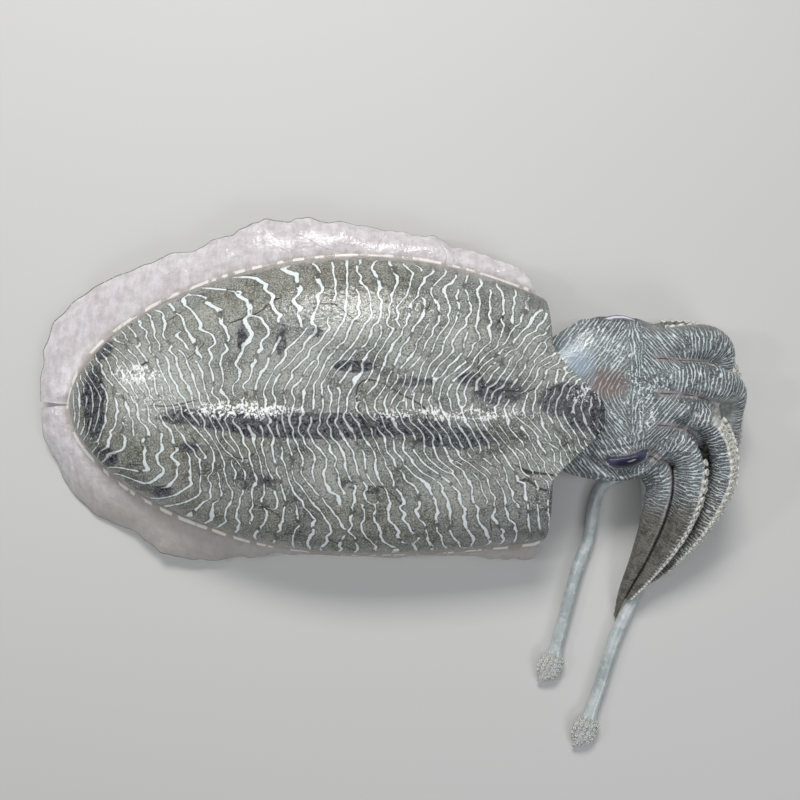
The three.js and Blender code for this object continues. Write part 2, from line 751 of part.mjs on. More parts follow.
// Every node in the order in which the later ones make room for the earlier ones
const mantle = { name: "mantle", solid: mantleSolid(), grown: mantleBlock(GAP), colour: SKIN_COLOUR };
const head = { name: "head", solid: headSolid(), grown: headBlock(GAP), colour: SKIN_COLOUR };
const eyes = EYES.map((eye) => ({
  name: eye.name,
  solid: eyeBall(eye, 0),
  grown: eyeBall(eye, GAP),
  colour: EYE_COLOUR,
}));
const fins = FINS.map((fin) => ({
  name: fin.name,
  solid: finSolid(fin),
  colour: FIN_COLOUR,
}));
const funnel = { name: "funnel", solid: funnelSolid(), colour: PALE_COLOUR };
const arms = ARMS.flatMap((arm) =>
  armNodes(arm).map((node) => {
    const suckers = {
      start: node.curve.getLength() * 0.12,
      length: node.curve.getLength(),
      pitch: arm.pitch,
      radiusAt: (half) => Math.max(half * SUCKER_SHARE, SUCKER_SMALLEST),
    };
    return { ...node, limb: arm.name, colour: SKIN_COLOUR, suckers };
  }),
);
const tentacles = TENTACLES.flatMap((tentacle) =>
  [...stalkNodes(tentacle), clubNode(tentacle)].map((node) => ({
    ...node,
    limb: tentacle.name,
    colour: PALE_COLOUR,
  })),
);

fins.forEach((fin) => {
  fin.solid = largest(fin.solid.subtract(mantle.grown));
});

const limbs = [...arms, ...tentacles];
limbs.forEach((limb, index) => {
  limb.solid = limb.solid.subtract(head.grown);
  limbs.slice(0, index).forEach((earlier) => {
    if (earlier.limb !== limb.limb) limb.solid = limb.solid.subtract(earlier.grown);
  });
  limb.solid = largest(limb.solid);
});

const mouth = { name: "mouth", solid: mouthSolid(0), grown: mouthSolid(GAP), colour: PALE_COLOUR };
limbs.forEach((limb) => {
  mouth.solid = mouth.solid.subtract(limb.grown);
});
mouth.solid = largest(mouth.solid.subtract(head.grown));

// Each sucker is set on its limb where it clears the other pieces and the floor
const placed = [];
limbs.filter((limb) => limb.suckers).forEach((limb) => {
  suckerPlaces(limb).forEach(({ place, outward, radius }) => {
    const whole = suckerSolid(place, outward, radius, 0);
    if (whole.boundingBox().min[2] < SUCKER_FLOOR_CLEARANCE) return;
    if (whole.subtract(limb.solid).volume() < 0.2 * whole.volume()) return;
    const others = limbs.filter((other) => other !== limb).map((other) => other.grown);
    const near = placed.filter((other) => other.limb !== limb.limb && other.place.distanceTo(place) < 12);
    const blockers = [head.grown, mantle.grown, mouth.grown, ...others, ...near.map((other) => other.grown)];
    const trimmed = blockers.reduce((solid, blocker) => solid.subtract(blocker), whole);
    if (trimmed.volume() < SUCKER_KEPT * whole.volume()) return;
    limb.solid = limb.solid.add(largest(trimmed));
    placed.push({ limb: limb.limb, place, grown: suckerSolid(place, outward, radius, GAP) });
  });
  limb.solid = largest(limb.solid);
});

const group = new THREE.Group();
group.name = "cuttlefish";
[mantle, ...fins, head, ...eyes, funnel, mouth, ...limbs].forEach(({ name, solid, colour }) => {
  const mesh = new THREE.Mesh(toGeometry(solid), new THREE.MeshStandardMaterial({ color: colour, roughness: 0.5 }));
  mesh.name = name;
  group.add(mesh);
});

export default group;
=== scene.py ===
# %% [markdown]
# A pharaoh cuttlefish, life size, as a museum shows one: belly down on a pale floor, arms and tentacles swept to one
# side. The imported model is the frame. Each piece here is a finer skin over the same forms, so the sizes are the same.

import math

import bmesh
import bpy
import numpy as np
from mathutils import Matrix, Vector


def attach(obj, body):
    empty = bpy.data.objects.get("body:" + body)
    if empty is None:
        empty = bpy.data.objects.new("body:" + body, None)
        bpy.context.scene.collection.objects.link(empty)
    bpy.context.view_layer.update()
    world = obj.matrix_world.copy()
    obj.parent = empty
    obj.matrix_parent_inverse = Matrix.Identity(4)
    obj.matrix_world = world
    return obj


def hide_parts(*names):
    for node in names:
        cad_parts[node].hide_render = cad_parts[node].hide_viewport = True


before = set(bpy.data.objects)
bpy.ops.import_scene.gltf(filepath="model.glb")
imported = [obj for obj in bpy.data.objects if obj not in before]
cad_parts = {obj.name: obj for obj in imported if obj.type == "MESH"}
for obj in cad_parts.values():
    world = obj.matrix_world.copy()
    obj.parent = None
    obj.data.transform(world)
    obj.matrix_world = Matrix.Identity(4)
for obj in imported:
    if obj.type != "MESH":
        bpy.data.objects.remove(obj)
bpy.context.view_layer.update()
print("nodes", len(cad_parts))

# %% [markdown]
# The photograph looks straight down on the back. A camera of this height and lens puts the mantle's edge, the head and
# the tips of the tentacles where the photograph has them. Shapes are worked out in millimetres and scaled once.

# %% Camera
MM = 0.001
CAMERA_PLACE = (51.6, 3.7, 626.0)
CAMERA_LENS = 36.09

camera = bpy.data.objects.new("camera", bpy.data.cameras.new("camera"))
camera.data.lens = CAMERA_LENS
camera.data.sensor_width = 36.0
camera.location = Vector(CAMERA_PLACE) * MM
camera.rotation_euler = (0, 0, 0)
bpy.context.scene.collection.objects.link(camera)
bpy.context.scene.camera = camera
print("camera", CAMERA_PLACE[2], "mm above the floor")

# %% [markdown]
# Two kinds of helper come first: small number functions that work on whole arrays, and one that turns a flat grid into
# a curved surface by moving each of its points, which suits forms that are known as rings along an axis.

# %% Number helpers


def smooth(t):
    k = np.clip(t, 0.0, 1.0)
    return k * k * (3 - 2 * k)


def mix(a, b, t):
    return a + (b - a) * t


def bell(x, centre, width):
    return np.exp(-(((x - centre) / width) ** 2))


def evened(values, rounds):
    """Smooths neighbouring rows into each other, in place."""
    for _ in range(rounds):
        values[1:-1] = (values[:-2] + 2 * values[1:-1] + values[2:]) / 4


def table_at(rows, t, column):
    places = np.array([row[0] for row in rows])
    values = np.array([row[column] for row in rows])
    index = np.clip(np.searchsorted(places, t, side="left") - 1, 0, len(places) - 2)
    k = smooth((t - places[index]) / (places[index + 1] - places[index]))
    return mix(values[index], values[index + 1], k)


def wave_sum(waves, t):
    return sum(size * np.sin(math.pi * count * t + phase) for count, size, phase in waves)


print("a quarter of the way, smoothed", float(smooth(0.25)))


# %% A grid bent into a surface


def new_object(name, mesh):
    obj = bpy.data.objects.new(name, mesh)
    bpy.context.scene.collection.objects.link(obj)
    return obj


def mesh_from(bm, name):
    """The finished mesh of a bmesh, which is freed."""
    mesh = bpy.data.meshes.new(name)
    bm.to_mesh(mesh)
    bm.free()
    return mesh


def ring_mesh(name, rings, fields=None):
    """A grid bent so that its rows become the rings, then merged where the rings meet themselves."""
    rows, across = rings.shape[0] - 1, rings.shape[1] - 1
    bm = bmesh.new()
    bmesh.ops.create_grid(bm, x_segments=rows, y_segments=across, size=0.5)
    flat = np.array([vert.co[:2] for vert in bm.verts])
    place = np.rint((flat + 0.5) * (rows, across)).astype(int)
    for vert, point in zip(bm.verts, (rings[place[:, 0], place[:, 1]] * MM).tolist()):
        vert.co = point
    for field, values in (fields or {}).items():
        layer = bm.verts.layers.float.new(field)
        for vert, value in zip(bm.verts, values[place[:, 0], place[:, 1]].tolist()):
            vert[layer] = value
    bmesh.ops.remove_doubles(bm, verts=bm.verts, dist=2e-6)
    bmesh.ops.dissolve_degenerate(bm, edges=bm.edges, dist=1e-7)
    bmesh.ops.recalc_face_normals(bm, faces=bm.faces)
    return mesh_from(bm, name)


def vertices_of(mesh):
    points = np.empty(len(mesh.vertices) * 3)
    mesh.vertices.foreach_get("co", points)
    return points.reshape(-1, 3) / MM


def paint(mesh, name, values):
    layer = mesh.attributes.new(name, "FLOAT", "POINT")
    layer.data.foreach_set("value", np.asarray(values, dtype=np.float32))


def shade_smooth(mesh):
    mesh.polygons.foreach_set("use_smooth", [True] * len(mesh.polygons))


# %% [markdown]
# Shader maths reads like sums when a socket knows how to add and multiply. This small class wraps a socket; a material
# is then written as expressions on values, and any other node comes from its one method.

# %% Shader values
COAT_ROUGHNESS = 0.1


class Value:
    def __init__(self, tree, socket):
        self.tree = tree
        self.socket = socket

    def node(self, kind, settings=None, inputs=None, output=0):
        made = self.tree.nodes.new(kind)
        for key, setting in (settings or {}).items():
            setattr(made, key, setting)
        for key, item in (inputs or {}).items():
            if isinstance(item, Value):
                self.tree.links.new(item.socket, made.inputs[key])
            else:
                made.inputs[key].default_value = item
        return Value(self.tree, made.outputs[output])

    def maths(self, operation, *others):
        inputs = {0: self, **{index + 1: other for index, other in enumerate(others)}}
        return self.node("ShaderNodeMath", {"operation": operation}, inputs)

    def __add__(self, other):
        return self.maths("ADD", other)

    def __mul__(self, other):
        return self.maths("MULTIPLY", other)

    def __sub__(self, other):
        return self.maths("SUBTRACT", other)

    def __rsub__(self, other):
        return self.maths("MULTIPLY", -1.0) + other

    def __pow__(self, other):
        return self.maths("POWER", other)

    __radd__ = __add__
    __rmul__ = __mul__

    def between(self, low, high):
        """0 below low, 1 above high and a soft step from one to the other."""
        settings = {"interpolation_type": "SMOOTHSTEP"}
        return self.node("ShaderNodeMapRange", settings, {"Value": self, "From Min": low, "From Max": high})


# %% [markdown]
# A colour is built up in layers: each one is mixed over what is there already. Every finish is one material whose
# Principled shader gets its colour and its bump from values like these.

# %% Colours and materials


def mixed(factor, first, second):
    """Colour that goes from first to second as factor goes from 0 to 1."""
    settings = {"data_type": "RGBA", "clamp_factor": True}
    inputs = {0: factor}
    for key, colour in ((6, first), (7, second)):
        inputs[key] = colour if isinstance(colour, Value) else (*colour, 1.0)
    return factor.node("ShaderNodeMix", settings, inputs, output=2)


def layered(ground, *layers):
    """Colours laid over a ground one after the other, each with its share."""
    for share, colour in layers:
        ground = mixed(share, ground, colour)
    return ground


def new_material(name, roughness, coat=0.0, specular=0.5):
    material = bpy.data.materials.new(name)
    material.use_nodes = True
    shader = material.node_tree.nodes["Principled BSDF"]
    shader.inputs["Roughness"].default_value = roughness
    shader.inputs["Coat Weight"].default_value = coat
    shader.inputs["Coat Roughness"].default_value = COAT_ROUGHNESS
    shader.inputs["Specular IOR Level"].default_value = specular
    start = Value(material.node_tree, None)
    return material, shader, start


# %% [markdown]
# A finish knows where a point lies in two ways: by its place in millimetres, which noise and spots need, and by the
# numbers that the mesh carries, such as the distance along an arm.

# %% Places, numbers and noise for the finishes


def attribute(start, name):
    return start.node("ShaderNodeAttribute", {"attribute_name": name}, {}, output=2)


def place_in_mm(start):
    point = start.node("ShaderNodeTexCoord", {}, {}, output=3)
    return point.node("ShaderNodeVectorMath", {"operation": "SCALE"}, {0: point, 3: 1000.0})


def noise(point, size, detail=2.0, roughness=0.5, output=0):
    """Noise whose lumps are about size millimetres across; output 1 is its colour."""
    inputs = {"Vector": point, "Scale": 1.0 / size, "Detail": detail, "Roughness": roughness}
    return point.node("ShaderNodeTexNoise", {}, inputs, output=output)


def swing(point, size, detail=2.0, roughness=0.5):
    """The same noise about 0, from about -0.3 to 0.3."""
    return noise(point, size, detail, roughness) - 0.5


def along_axis(point, axis):
    return point.node("ShaderNodeSeparateXYZ", {}, {0: point}, output=axis)


def combined(x, y, z):
    return x.node("ShaderNodeCombineXYZ", {}, {0: x, 1: y, 2: z})


def spot(x, y, centre, half):
    """1 at a place of the plan, 0 beyond its half sizes."""
    reach_x, reach_y = (x - centre[0]) * (1 / half[0]), (y - centre[1]) * (1 / half[1])
    return 1 - (reach_x * reach_x + reach_y * reach_y).between(0.15, 1.2)


def spots_added(x, y, rows):
    """Several spots added up, each with its strength."""
    total = 0.0
    for centre, half, strength in rows:
        total = total + spot(x, y, centre, half) * strength
    return total


def dress(material, shader, colour, height, distance, strength):
    """The colour and the bump of a finish."""
    relief = {"Height": height, "Distance": distance, "Strength": strength}
    normal = height.node("ShaderNodeBump", {}, relief)
    colour.tree.links.new(colour.socket, shader.inputs["Base Color"])
    normal.tree.links.new(normal.socket, shader.inputs["Normal"])
    print(material.name, len(material.node_tree.nodes), "nodes")


# %% [markdown]
# The white bars of this species run across the back and fork like the ridges of a fingertip. Fingertip ridges grow from
# random spots that are smoothed along one direction again and again, and the same is done here on a table of numbers.
# The table's rows run along the bars' numbering, so a skin only needs to know which bar each point lies on. Where the
# bars stand further apart, a slower wave is let through, and the bars join two and two on the way there.

# %% Ridge field
# Cells of the table to one bar; how many waves are let through side by side, and how wide each gate is
CELLS = 8
PACE_STEPS = 5
GATE_WIDTH = 0.2


def ridge_field(pace, seed, spread, rounds):
    """Complex waves of length 1 whose real part has pace ridges to each unit of the rows."""
    rows, across = pace.shape
    along = np.fft.fftfreq(rows)[:, None] * CELLS
    sideways = np.fft.fftfreq(across)[None, :] * CELLS
    length = np.hypot(along, sideways)
    angle = np.arctan2(np.abs(sideways), np.abs(along) + 1e-9)
    steps = np.linspace(pace.min(), pace.max(), PACE_STEPS)
    shares = [np.clip(1 - np.abs(pace - step) / (steps[1] - steps[0]), 0, 1) for step in steps]
    turned = np.exp(-((angle / spread) ** 2)) * (along > 0)
    gates = [np.exp(-(((length - step) / (GATE_WIDTH * step)) ** 2)) * turned for step in steps]
    field = np.random.default_rng(seed).standard_normal((rows, across))
    for _ in range(rounds):
        spectrum = np.fft.fft2(field)
        waves = sum(share * np.fft.ifft2(spectrum * gate) for share, gate in zip(shares, gates))
        size = np.abs(waves)
        field = waves.real / (size + 0.2 * size.mean())
    return waves / (size + 1e-9)


# %% [markdown]
# Both kinds of number table, the ridge field and the plain random one, are read between their cells.

# %% Reading tables


def read_table(table, row, column):
    """Value of a table between its cells; row and column count cells and wrap round."""
    rows, columns = table.shape
    low_row, low_column = np.floor(row).astype(int), np.floor(column).astype(int)
    total = 0
    for step_row in (0, 1):
        for step_column in (0, 1):
            share = (1 - np.abs(row - low_row - step_row)) * (1 - np.abs(column - low_column - step_column))
            total = total + table[(low_row + step_row) % rows, (low_column + step_column) % columns] * share
    return total


def drift(seed, row, column):
    """Smooth random numbers from about -1 to 1 at two coordinates counted in lumps."""
    table = np.random.default_rng(seed).uniform(-1, 1, (61, 67))
    low_row, low_column = np.floor(row), np.floor(column)
    return read_table(table, low_row + smooth(row - low_row), low_column + smooth(column - low_column))


# %% [markdown]
# The mantle is a flattened dome with a fin along each side and a thick front lip over the neck. On the animal the fin
# grows out of the same skin, so mantle, fins and lip are one surface here: a grid whose every ring runs over the back,
# out along one fin and back below it, under the belly, and out and back along the other fin.

# %% Mantle and fin sizes
TAIL_X = -197.5
WIDEST_X = 20.0
FRONT_X = 157.0
HALF_WIDTH = 110.0
TAIL_EXPONENT = 1.8
TAPER_LEFT = 31.0
TAPER_RIGHT = 10.0
FIN_LEVEL = 30.0
FIN_LEVEL_DROP = 12.0
BACK_RISE = 50.0
RISE_EXPONENT = 0.75
BACK_DROP = 8.0
BACK_FULLNESS = 2.25
BELLY_DEPTH = 36.0
DEPTH_EXPONENT = 0.6
LOBE_LENGTH = 37.0
LOBE_HALF_WIDTH = 47.0
LOBE_CENTRE_Y = -6.0
LOBE_EXPONENT = 1.7
LOBE_START = 0.7
# The rings stand closer together over this share of the length at the tail
TAIL_SHARE = 0.35
TAIL_CROWDING = 1.7
VENTRAL_NOTCH = 7.0
WALL = 6.0
RECESS_X = 147.0
# How far the rim turns in, stands forward and runs back, row by row
LIP_ROWS = ((0.1, 0.9, 0), (0.3, 1.6, 0), (0.55, 1.5, 0), (0.75, 1.1, 0), (1, 0, 0), (1, 0, 0.5), (1, 0, 1))
print("mantle", FRONT_X + LOBE_LENGTH - TAIL_X, "mm long,", 2 * HALF_WIDTH, "mm wide")

# Half thickness of a fin at its root and its edge, how far its middle arches up, and its gap to the floor
FIN_ROOT_HALF = 2.0
FIN_EDGE_HALF = 0.6
FIN_ARCH = 3.0
FLOOR_GAP = 0.5
# A fin's stations are drawn out over this share of its length at the tail
FIN_TAIL_SHARE = 0.2
# Each fin: its side, its front end, how its root's level differs, rows of station, width and angle below the
# horizontal in degrees, then the waves of its face and the scallops of its edge as count, size and phase
FINS = (
    {
        "side": 1,
        "front": 152.0,
        "level": 0.0,
        "shape": (
            (0, 27, 20), (0.04, 34, 20), (0.06, 40, 20), (0.09, 48, 20), (0.12, 48, 19), (0.15, 44, 18),
            (0.21, 35, 16), (0.35, 33, 14), (0.43, 37, 14), (0.5, 36, 15), (0.57, 29, 18), (0.7, 26, 22),
            (0.76, 22, 24), (0.9, 19, 28), (0.96, 15, 30), (1, 8, 30),
        ),
        "waves": ((11, 2.2, 0.4), (23, 1.2, 1.9), (5, 1.4, 0), (41, 0.5, 0.8), (67, 0.35, 2.1)),
        "scallops": ((19, 0.9, 0.3), (31, 0.6, 1.1), (73, 0.3, 0.2)),
    },
    {
        "side": -1,
        "front": 157.0,
        "level": -5.0,
        "shape": (
            (0, 24, 20), (0.04, 31, 22), (0.06, 34, 22), (0.09, 40, 22), (0.12, 42, 20), (0.15, 40, 18),
            (0.19, 35, 18), (0.25, 36, 18), (0.31, 33, 26), (0.38, 28, 42), (0.45, 23, 65), (0.52, 23, 78),
            (0.62, 23, 83), (0.72, 23, 79), (0.84, 24, 66), (0.94, 25, 54), (0.98, 22, 42), (1, 15, 36),
        ),
        "waves": ((9, 2.2, 1.0), (21, 1.2, 0.2), (6, 1.2, 2), (43, 0.5, 1.4), (63, 0.35, 0.3)),
        "scallops": ((17, 0.9, 1.3), (29, 0.6, 0.4), (71, 0.3, 1.7)),
    },
)


# %% [markdown]
# The mantle's section is a flattened dome: a fuller curve above the fins and a shallow belly that is cut off by the
# floor. Its front edge stands forward in a rounded lobe over the nape and is notched a little below.

# %% A point on the mantle


def tail_share(x):
    return np.clip((WIDEST_X - x) / (WIDEST_X - TAIL_X), 0, 1)


def mantle_half_width(x, side):
    rear = HALF_WIDTH * (1 - tail_share(x) ** TAIL_EXPONENT) ** (1 / TAIL_EXPONENT)
    v = (x - WIDEST_X) / (FRONT_X - WIDEST_X)
    front = HALF_WIDTH - np.where(side > 0, TAPER_LEFT, TAPER_RIGHT) * v * v
    return np.where(x < WIDEST_X, rear, front)


def fin_level(x):
    return FIN_LEVEL - FIN_LEVEL_DROP * tail_share(x) ** 2


def mantle_point(x, angle, grow):
    across = np.cos(angle)
    up = np.sin(angle)
    width = mantle_half_width(x, across) + grow
    share = mantle_half_width(np.minimum(x, WIDEST_X), 1) / HALF_WIDTH
    front = np.clip((x - WIDEST_X) / (FRONT_X - WIDEST_X), 0, 1.3)
    rise = BACK_RISE * share**RISE_EXPONENT - BACK_DROP * front**2 + grow
    depth = BELLY_DEPTH * share**DEPTH_EXPONENT + grow
    power = 2 / BACK_FULLNESS
    top_y = width * np.sign(across) * np.abs(across) ** power
    top_z = fin_level(x) + rise * np.abs(up) ** power
    under_z = np.maximum(fin_level(x) + depth * up, -grow)
    return np.stack([x, np.where(up >= 0, top_y, width * across), np.where(up >= 0, top_z, under_z)], 1)


def front_shift(angle):
    up = np.sin(angle)
    across = np.cos(angle)
    half = mantle_half_width(np.full_like(angle, FRONT_X), across)
    offset = np.abs(half * across - LOBE_CENTRE_Y) / LOBE_HALF_WIDTH
    lobe = LOBE_LENGTH * np.cos(math.pi / 2 * np.minimum(offset, 1)) ** LOBE_EXPONENT
    return np.where(up < -1e-9, -VENTRAL_NOTCH * up * up, lobe)


# %% A point on a fin


def fin_root(fin, x):
    """Root point and the direction straight out, beside the mantle's edge at x."""
    place = np.maximum(x, TAIL_X + 0.1)
    station = (place - TAIL_X) / (fin["front"] - TAIL_X)
    near_tail = FIN_TAIL_SHARE * (station / FIN_TAIL_SHARE) ** (1 / TAIL_EXPONENT)
    station = np.where(station < FIN_TAIL_SHARE, near_tail, station)

    def edge(at):
        level = fin_level(at) + fin["level"] * smooth(station / 0.3)
        return np.stack([at, mantle_half_width(at, fin["side"]) * fin["side"], level], 1)

    step = edge(place + 0.4) - edge(np.maximum(place - 0.4, TAIL_X))
    out = np.stack([-step[:, 1], step[:, 0], 0 * place], 1) * fin["side"]
    return edge(np.maximum(x, TAIL_X)), out / np.linalg.norm(out, axis=1)[:, None], np.clip(station, 0, 1)


def fin_point(fin, x, k, face_side):
    point, out, t = fin_root(fin, x)
    ends = smooth(t * 8) * smooth((1 - t) * 8)
    width = table_at(fin["shape"], t, 1) + wave_sum(fin["scallops"], t) * ends
    left = np.clip((fin["front"] - x) / 5.0, 0, 1)
    width = width * np.sqrt(1 - (1 - left) ** 2)
    droop = np.radians(table_at(fin["shape"], t, 2))
    down = np.array([0.0, 0.0, 1.0])
    ray = out * np.cos(droop)[:, None] - down * np.sin(droop)[:, None]
    face = out * np.sin(droop)[:, None] + down * np.cos(droop)[:, None]
    lift = (wave_sum(fin["waves"], t) * k * k + FIN_ARCH * np.sin(math.pi * k)) * np.sqrt(left)
    half = mix(FIN_ROOT_HALF, FIN_EDGE_HALF, k**0.8) * np.sqrt(1 - k**12) * np.minimum(left, smooth(t * 60))
    place = point + ray * (width * k)[:, None] + face * lift[:, None]
    place[:, 2] = np.maximum(place[:, 2], half + FLOOR_GAP)
    return place + face * (half * face_side)[:, None]


# %% The whole skin of mantle and fins
SKIN_ROWS = 296
BACK_COLUMNS = 200
FIN_TOP_COLUMNS = 24
FIN_UNDER_COLUMNS = 12
BELLY_COLUMNS = 28
SIDE_ANGLE = 0.06

# What each column of the grid lies on, its angle or place across a fin, and the fin's face
columns = [("body", angle, 0) for angle in np.linspace(SIDE_ANGLE, math.pi - SIDE_ANGLE, BACK_COLUMNS)]
columns += [("right", k, 1) for k in np.linspace(0, 1, FIN_TOP_COLUMNS)]
columns += [("right", k, -1) for k in np.linspace(1, 0, FIN_UNDER_COLUMNS)[1:]]
columns += [("body", math.pi + angle, 0) for angle in np.linspace(SIDE_ANGLE, math.pi - SIDE_ANGLE, BELLY_COLUMNS)]
columns += [("left", k, -1) for k in np.linspace(0, 1, FIN_UNDER_COLUMNS)]
columns += [("left", k, 1) for k in np.linspace(1, 0, FIN_TOP_COLUMNS)[1:]]
columns.append(columns[0])
column_kinds = np.array([kind for kind, _, _ in columns])
column_values = np.array([value for _, value, _ in columns])
column_faces = np.array([face for _, _, face in columns])


def skin_ring(row):
    """Points of one ring, from the tail to the lip and in over the neck."""
    angle = np.where(column_kinds == "body", column_values, np.where(column_kinds == "right", math.pi, 0.0))
    if row <= SKIN_ROWS:
        u = row / SKIN_ROWS
        eased = TAIL_SHARE * (u / TAIL_SHARE) ** TAIL_CROWDING if u < TAIL_SHARE else u
        x = mix(TAIL_X, FRONT_X, eased) + front_shift(angle) * smooth((u - LOBE_START) / (1 - LOBE_START))
        points = mantle_point(x, angle, 0.0)
        for fin, kind in ((FINS[0], "left"), (FINS[1], "right")):
            here = column_kinds == kind
            points[here] = fin_point(fin, x[here], column_values[here], column_faces[here])
        return points
    inset, forward, back = LIP_ROWS[min(row - SKIN_ROWS - 1, len(LIP_ROWS) - 1)]
    rim = FRONT_X + front_shift(angle)
    points = mantle_point(rim, angle, -inset * WALL)
    points[:, 2] = np.maximum(points[:, 2], inset * WALL)
    points[:, 0] = mix(rim + forward, RECESS_X, back)
    if row == SKIN_ROWS + len(LIP_ROWS) + 1:
        points[:] = points[:-1].mean(0)
    return points


rings = np.array([skin_ring(row) for row in range(SKIN_ROWS + len(LIP_ROWS) + 2)])
print("rings", rings.shape)

# %% [markdown]
# The white bars cross the back in bows round the tail and in arrowheads behind the front lobe. A small table says how
# each bar leans at a few places. Adding the lean up from the midline gives every point the place where its bar crosses
# the midline, so points with the same number lie on one bar, and the ridge field then makes the bars wander and fork.

# %% How the bars lean
LEAN_X = (-190, -160, -130, -95, -50, -16, 30, 65, 120, 160, 195)
LEAN_Y = (-115, -80, -58, -40, -14, 0, 14, 40, 62, 85, 115)
LEAN = (
    (0.9, 1.0, 1.1, 1.0, 0.9, 0.0, -0.8, -1.0, -1.0, -0.9, -0.7),
    (1.1, 1.2, 1.3, 0.8, 0.6, 0.0, -0.7, -0.9, -0.9, -0.8, -0.7),
    (1.1, 1.1, 1.0, -0.1, -0.2, -0.2, -0.5, -0.6, -0.6, -0.6, -0.6),
    (0.8, 0.8, 0.5, -0.4, -0.6, -0.5, -0.2, -0.5, -0.5, -0.5, -0.5),
    (0.2, 0.2, 0.0, -0.4, -0.5, -0.2, 0.15, 0.1, 0.0, -0.2, -0.2),
    (0.1, -0.1, -0.3, -0.35, -0.35, 0.0, 0.5, 0.4, 0.1, 0.0, 0.0),
    (0.1, -0.2, -0.4, -0.4, -0.4, 0.0, 0.55, 0.55, 0.2, 0.0, 0.0),
    (0.1, -0.3, -0.5, -0.55, -0.5, 0.0, 0.5, 0.65, 0.35, 0.0, -0.1),
    (0.1, -0.2, -0.5, -0.8, -0.8, 0.0, 0.6, 0.8, 0.4, -0.1, -0.2),
    (0.0, -0.2, -0.5, -0.8, -0.8, 0.0, 0.8, 0.8, 0.4, 0.0, -0.2),
    (0.0, -0.2, -0.5, -0.7, -0.65, 0.0, 0.65, 0.7, 0.4, 0.0, -0.2),
)
# Distance between two bars along the midline
PITCH_X = (-230, -170, -130, -90, -20, 60, 120, 160, 210)
BAR_PITCH = (5.4, 5.8, 6.7, 6.7, 6.4, 6.0, 5.6, 5.5, 5.3)
# The ridge table: its half width, the width of one unit of it, and the share of the bars that reach the sides
TABLE_HALF = 150
ACROSS_UNIT = 7.5
SIDE_PACE = 0.66
# Steps and half sizes of the grid on which the lean is added up
LEAN_STEP_X = 4.0
LEAN_STEP_Y = 2.0
LEAN_HALF_X = 240
LEAN_HALF_Y = 150


def bar_place(x, y):
    """Where on the midline the bar through a point crosses it."""
    fine_x = np.arange(-LEAN_HALF_X, LEAN_HALF_X + 1, LEAN_STEP_X)
    fine_y = np.arange(-LEAN_HALF_Y, LEAN_HALF_Y + 1, LEAN_STEP_Y)
    lean = np.array([np.interp(fine_x, LEAN_X, column) for column in np.array(LEAN).T])
    lean = np.array([np.interp(fine_y, LEAN_Y, column) for column in lean.T])
    shift = np.cumsum(lean, 1) * LEAN_STEP_Y
    shift -= shift[:, len(fine_y) // 2][:, None]
    evened(shift, 3)
    row = np.clip((x + LEAN_HALF_X) / LEAN_STEP_X, 0, len(fine_x) - 2)
    column = np.clip((y + LEAN_HALF_Y) / LEAN_STEP_Y, 0, len(fine_y) - 2)
    return x - read_table(shift, row, column)


def bar_number(place):
    places = np.linspace(-320, 320, 1281)
    pitch = np.interp(places, PITCH_X, BAR_PITCH)
    counted = np.concatenate([[0], np.cumsum(np.diff(places) / pitch[:-1])])
    return np.interp(place, places, counted)


print("bars on the midline", round(float(bar_number(FRONT_X + LOBE_LENGTH) - bar_number(TAIL_X))))


# %% How far each point lies from the midline, the fin's root and the mantle's edge
# What the undersides of the fins and the belly are given, so that no mark of the top reaches them
FAR = 60.0
LEAST_WIDTH = 6
TIP_POINTS = 9

# Distance over the skin from the midline of the back, positive on the left, and from the fin's root
steps = np.linalg.norm(np.diff(rings, axis=1), axis=2)
walked = np.concatenate([np.zeros((len(rings), 1)), np.cumsum(steps, 1)], 1)
midline = walked[:, BACK_COLUMNS // 2][:, None]
left_start = len(columns) - FIN_TOP_COLUMNS
across = midline - walked
across[:, left_start:] = midline + walked[:, -1:] - walked[:, left_start:]
half_arc = np.where(across > 0, midline, walked[:, BACK_COLUMNS][:, None] - midline)
beyond = np.abs(across) - half_arc
beyond[:, BACK_COLUMNS + FIN_TOP_COLUMNS : left_start] = FAR

# Distance in plan from the mantle's edge, negative on the mantle
back_y = rings[:, : BACK_COLUMNS + 1, 1]
right_edge, left_edge = back_y.min(1)[:, None], back_y.max(1)[:, None]
outside = np.where(across > 0, rings[:, :, 1] - left_edge, right_edge - rings[:, :, 1])
wide = (left_edge - right_edge)[:, 0] > LEAST_WIDTH
edge_y = np.hstack([right_edge, left_edge])[wide]
edge = np.stack([np.repeat(rings[wide, 0, 0], 2), edge_y.ravel()], 1)
tip_y = np.linspace(edge_y[0].min(), edge_y[0].max(), TIP_POINTS)
edge = np.vstack([edge, np.stack([np.full(TIP_POINTS, edge[0, 0]), tip_y], 1)])
parts = np.array_split(rings[:, :, :2].reshape(-1, 2), 60)
away = [np.sqrt(((part[:, None] - edge[None]) ** 2).sum(2).min(1)) for part in parts]
away = np.concatenate(away).reshape(outside.shape)
outside = np.where((outside < 0) & wide[:, None], -away, away)

# How far out along a fin's top each point lies from where the mantle's side stops hiding it
trim = np.full(outside.shape, FAR)
for part in (slice(BACK_COLUMNS, BACK_COLUMNS + FIN_TOP_COLUMNS), slice(left_start, len(columns))):
    hidden = np.where(outside[:, part] < 0.3, beyond[:, part], 0).max(1)
    evened(hidden, 12)
    trim[:, part] = beyond[:, part] - hidden[:, None]
print("back, midline to fin", round(float(half_arc.max())), "mm")

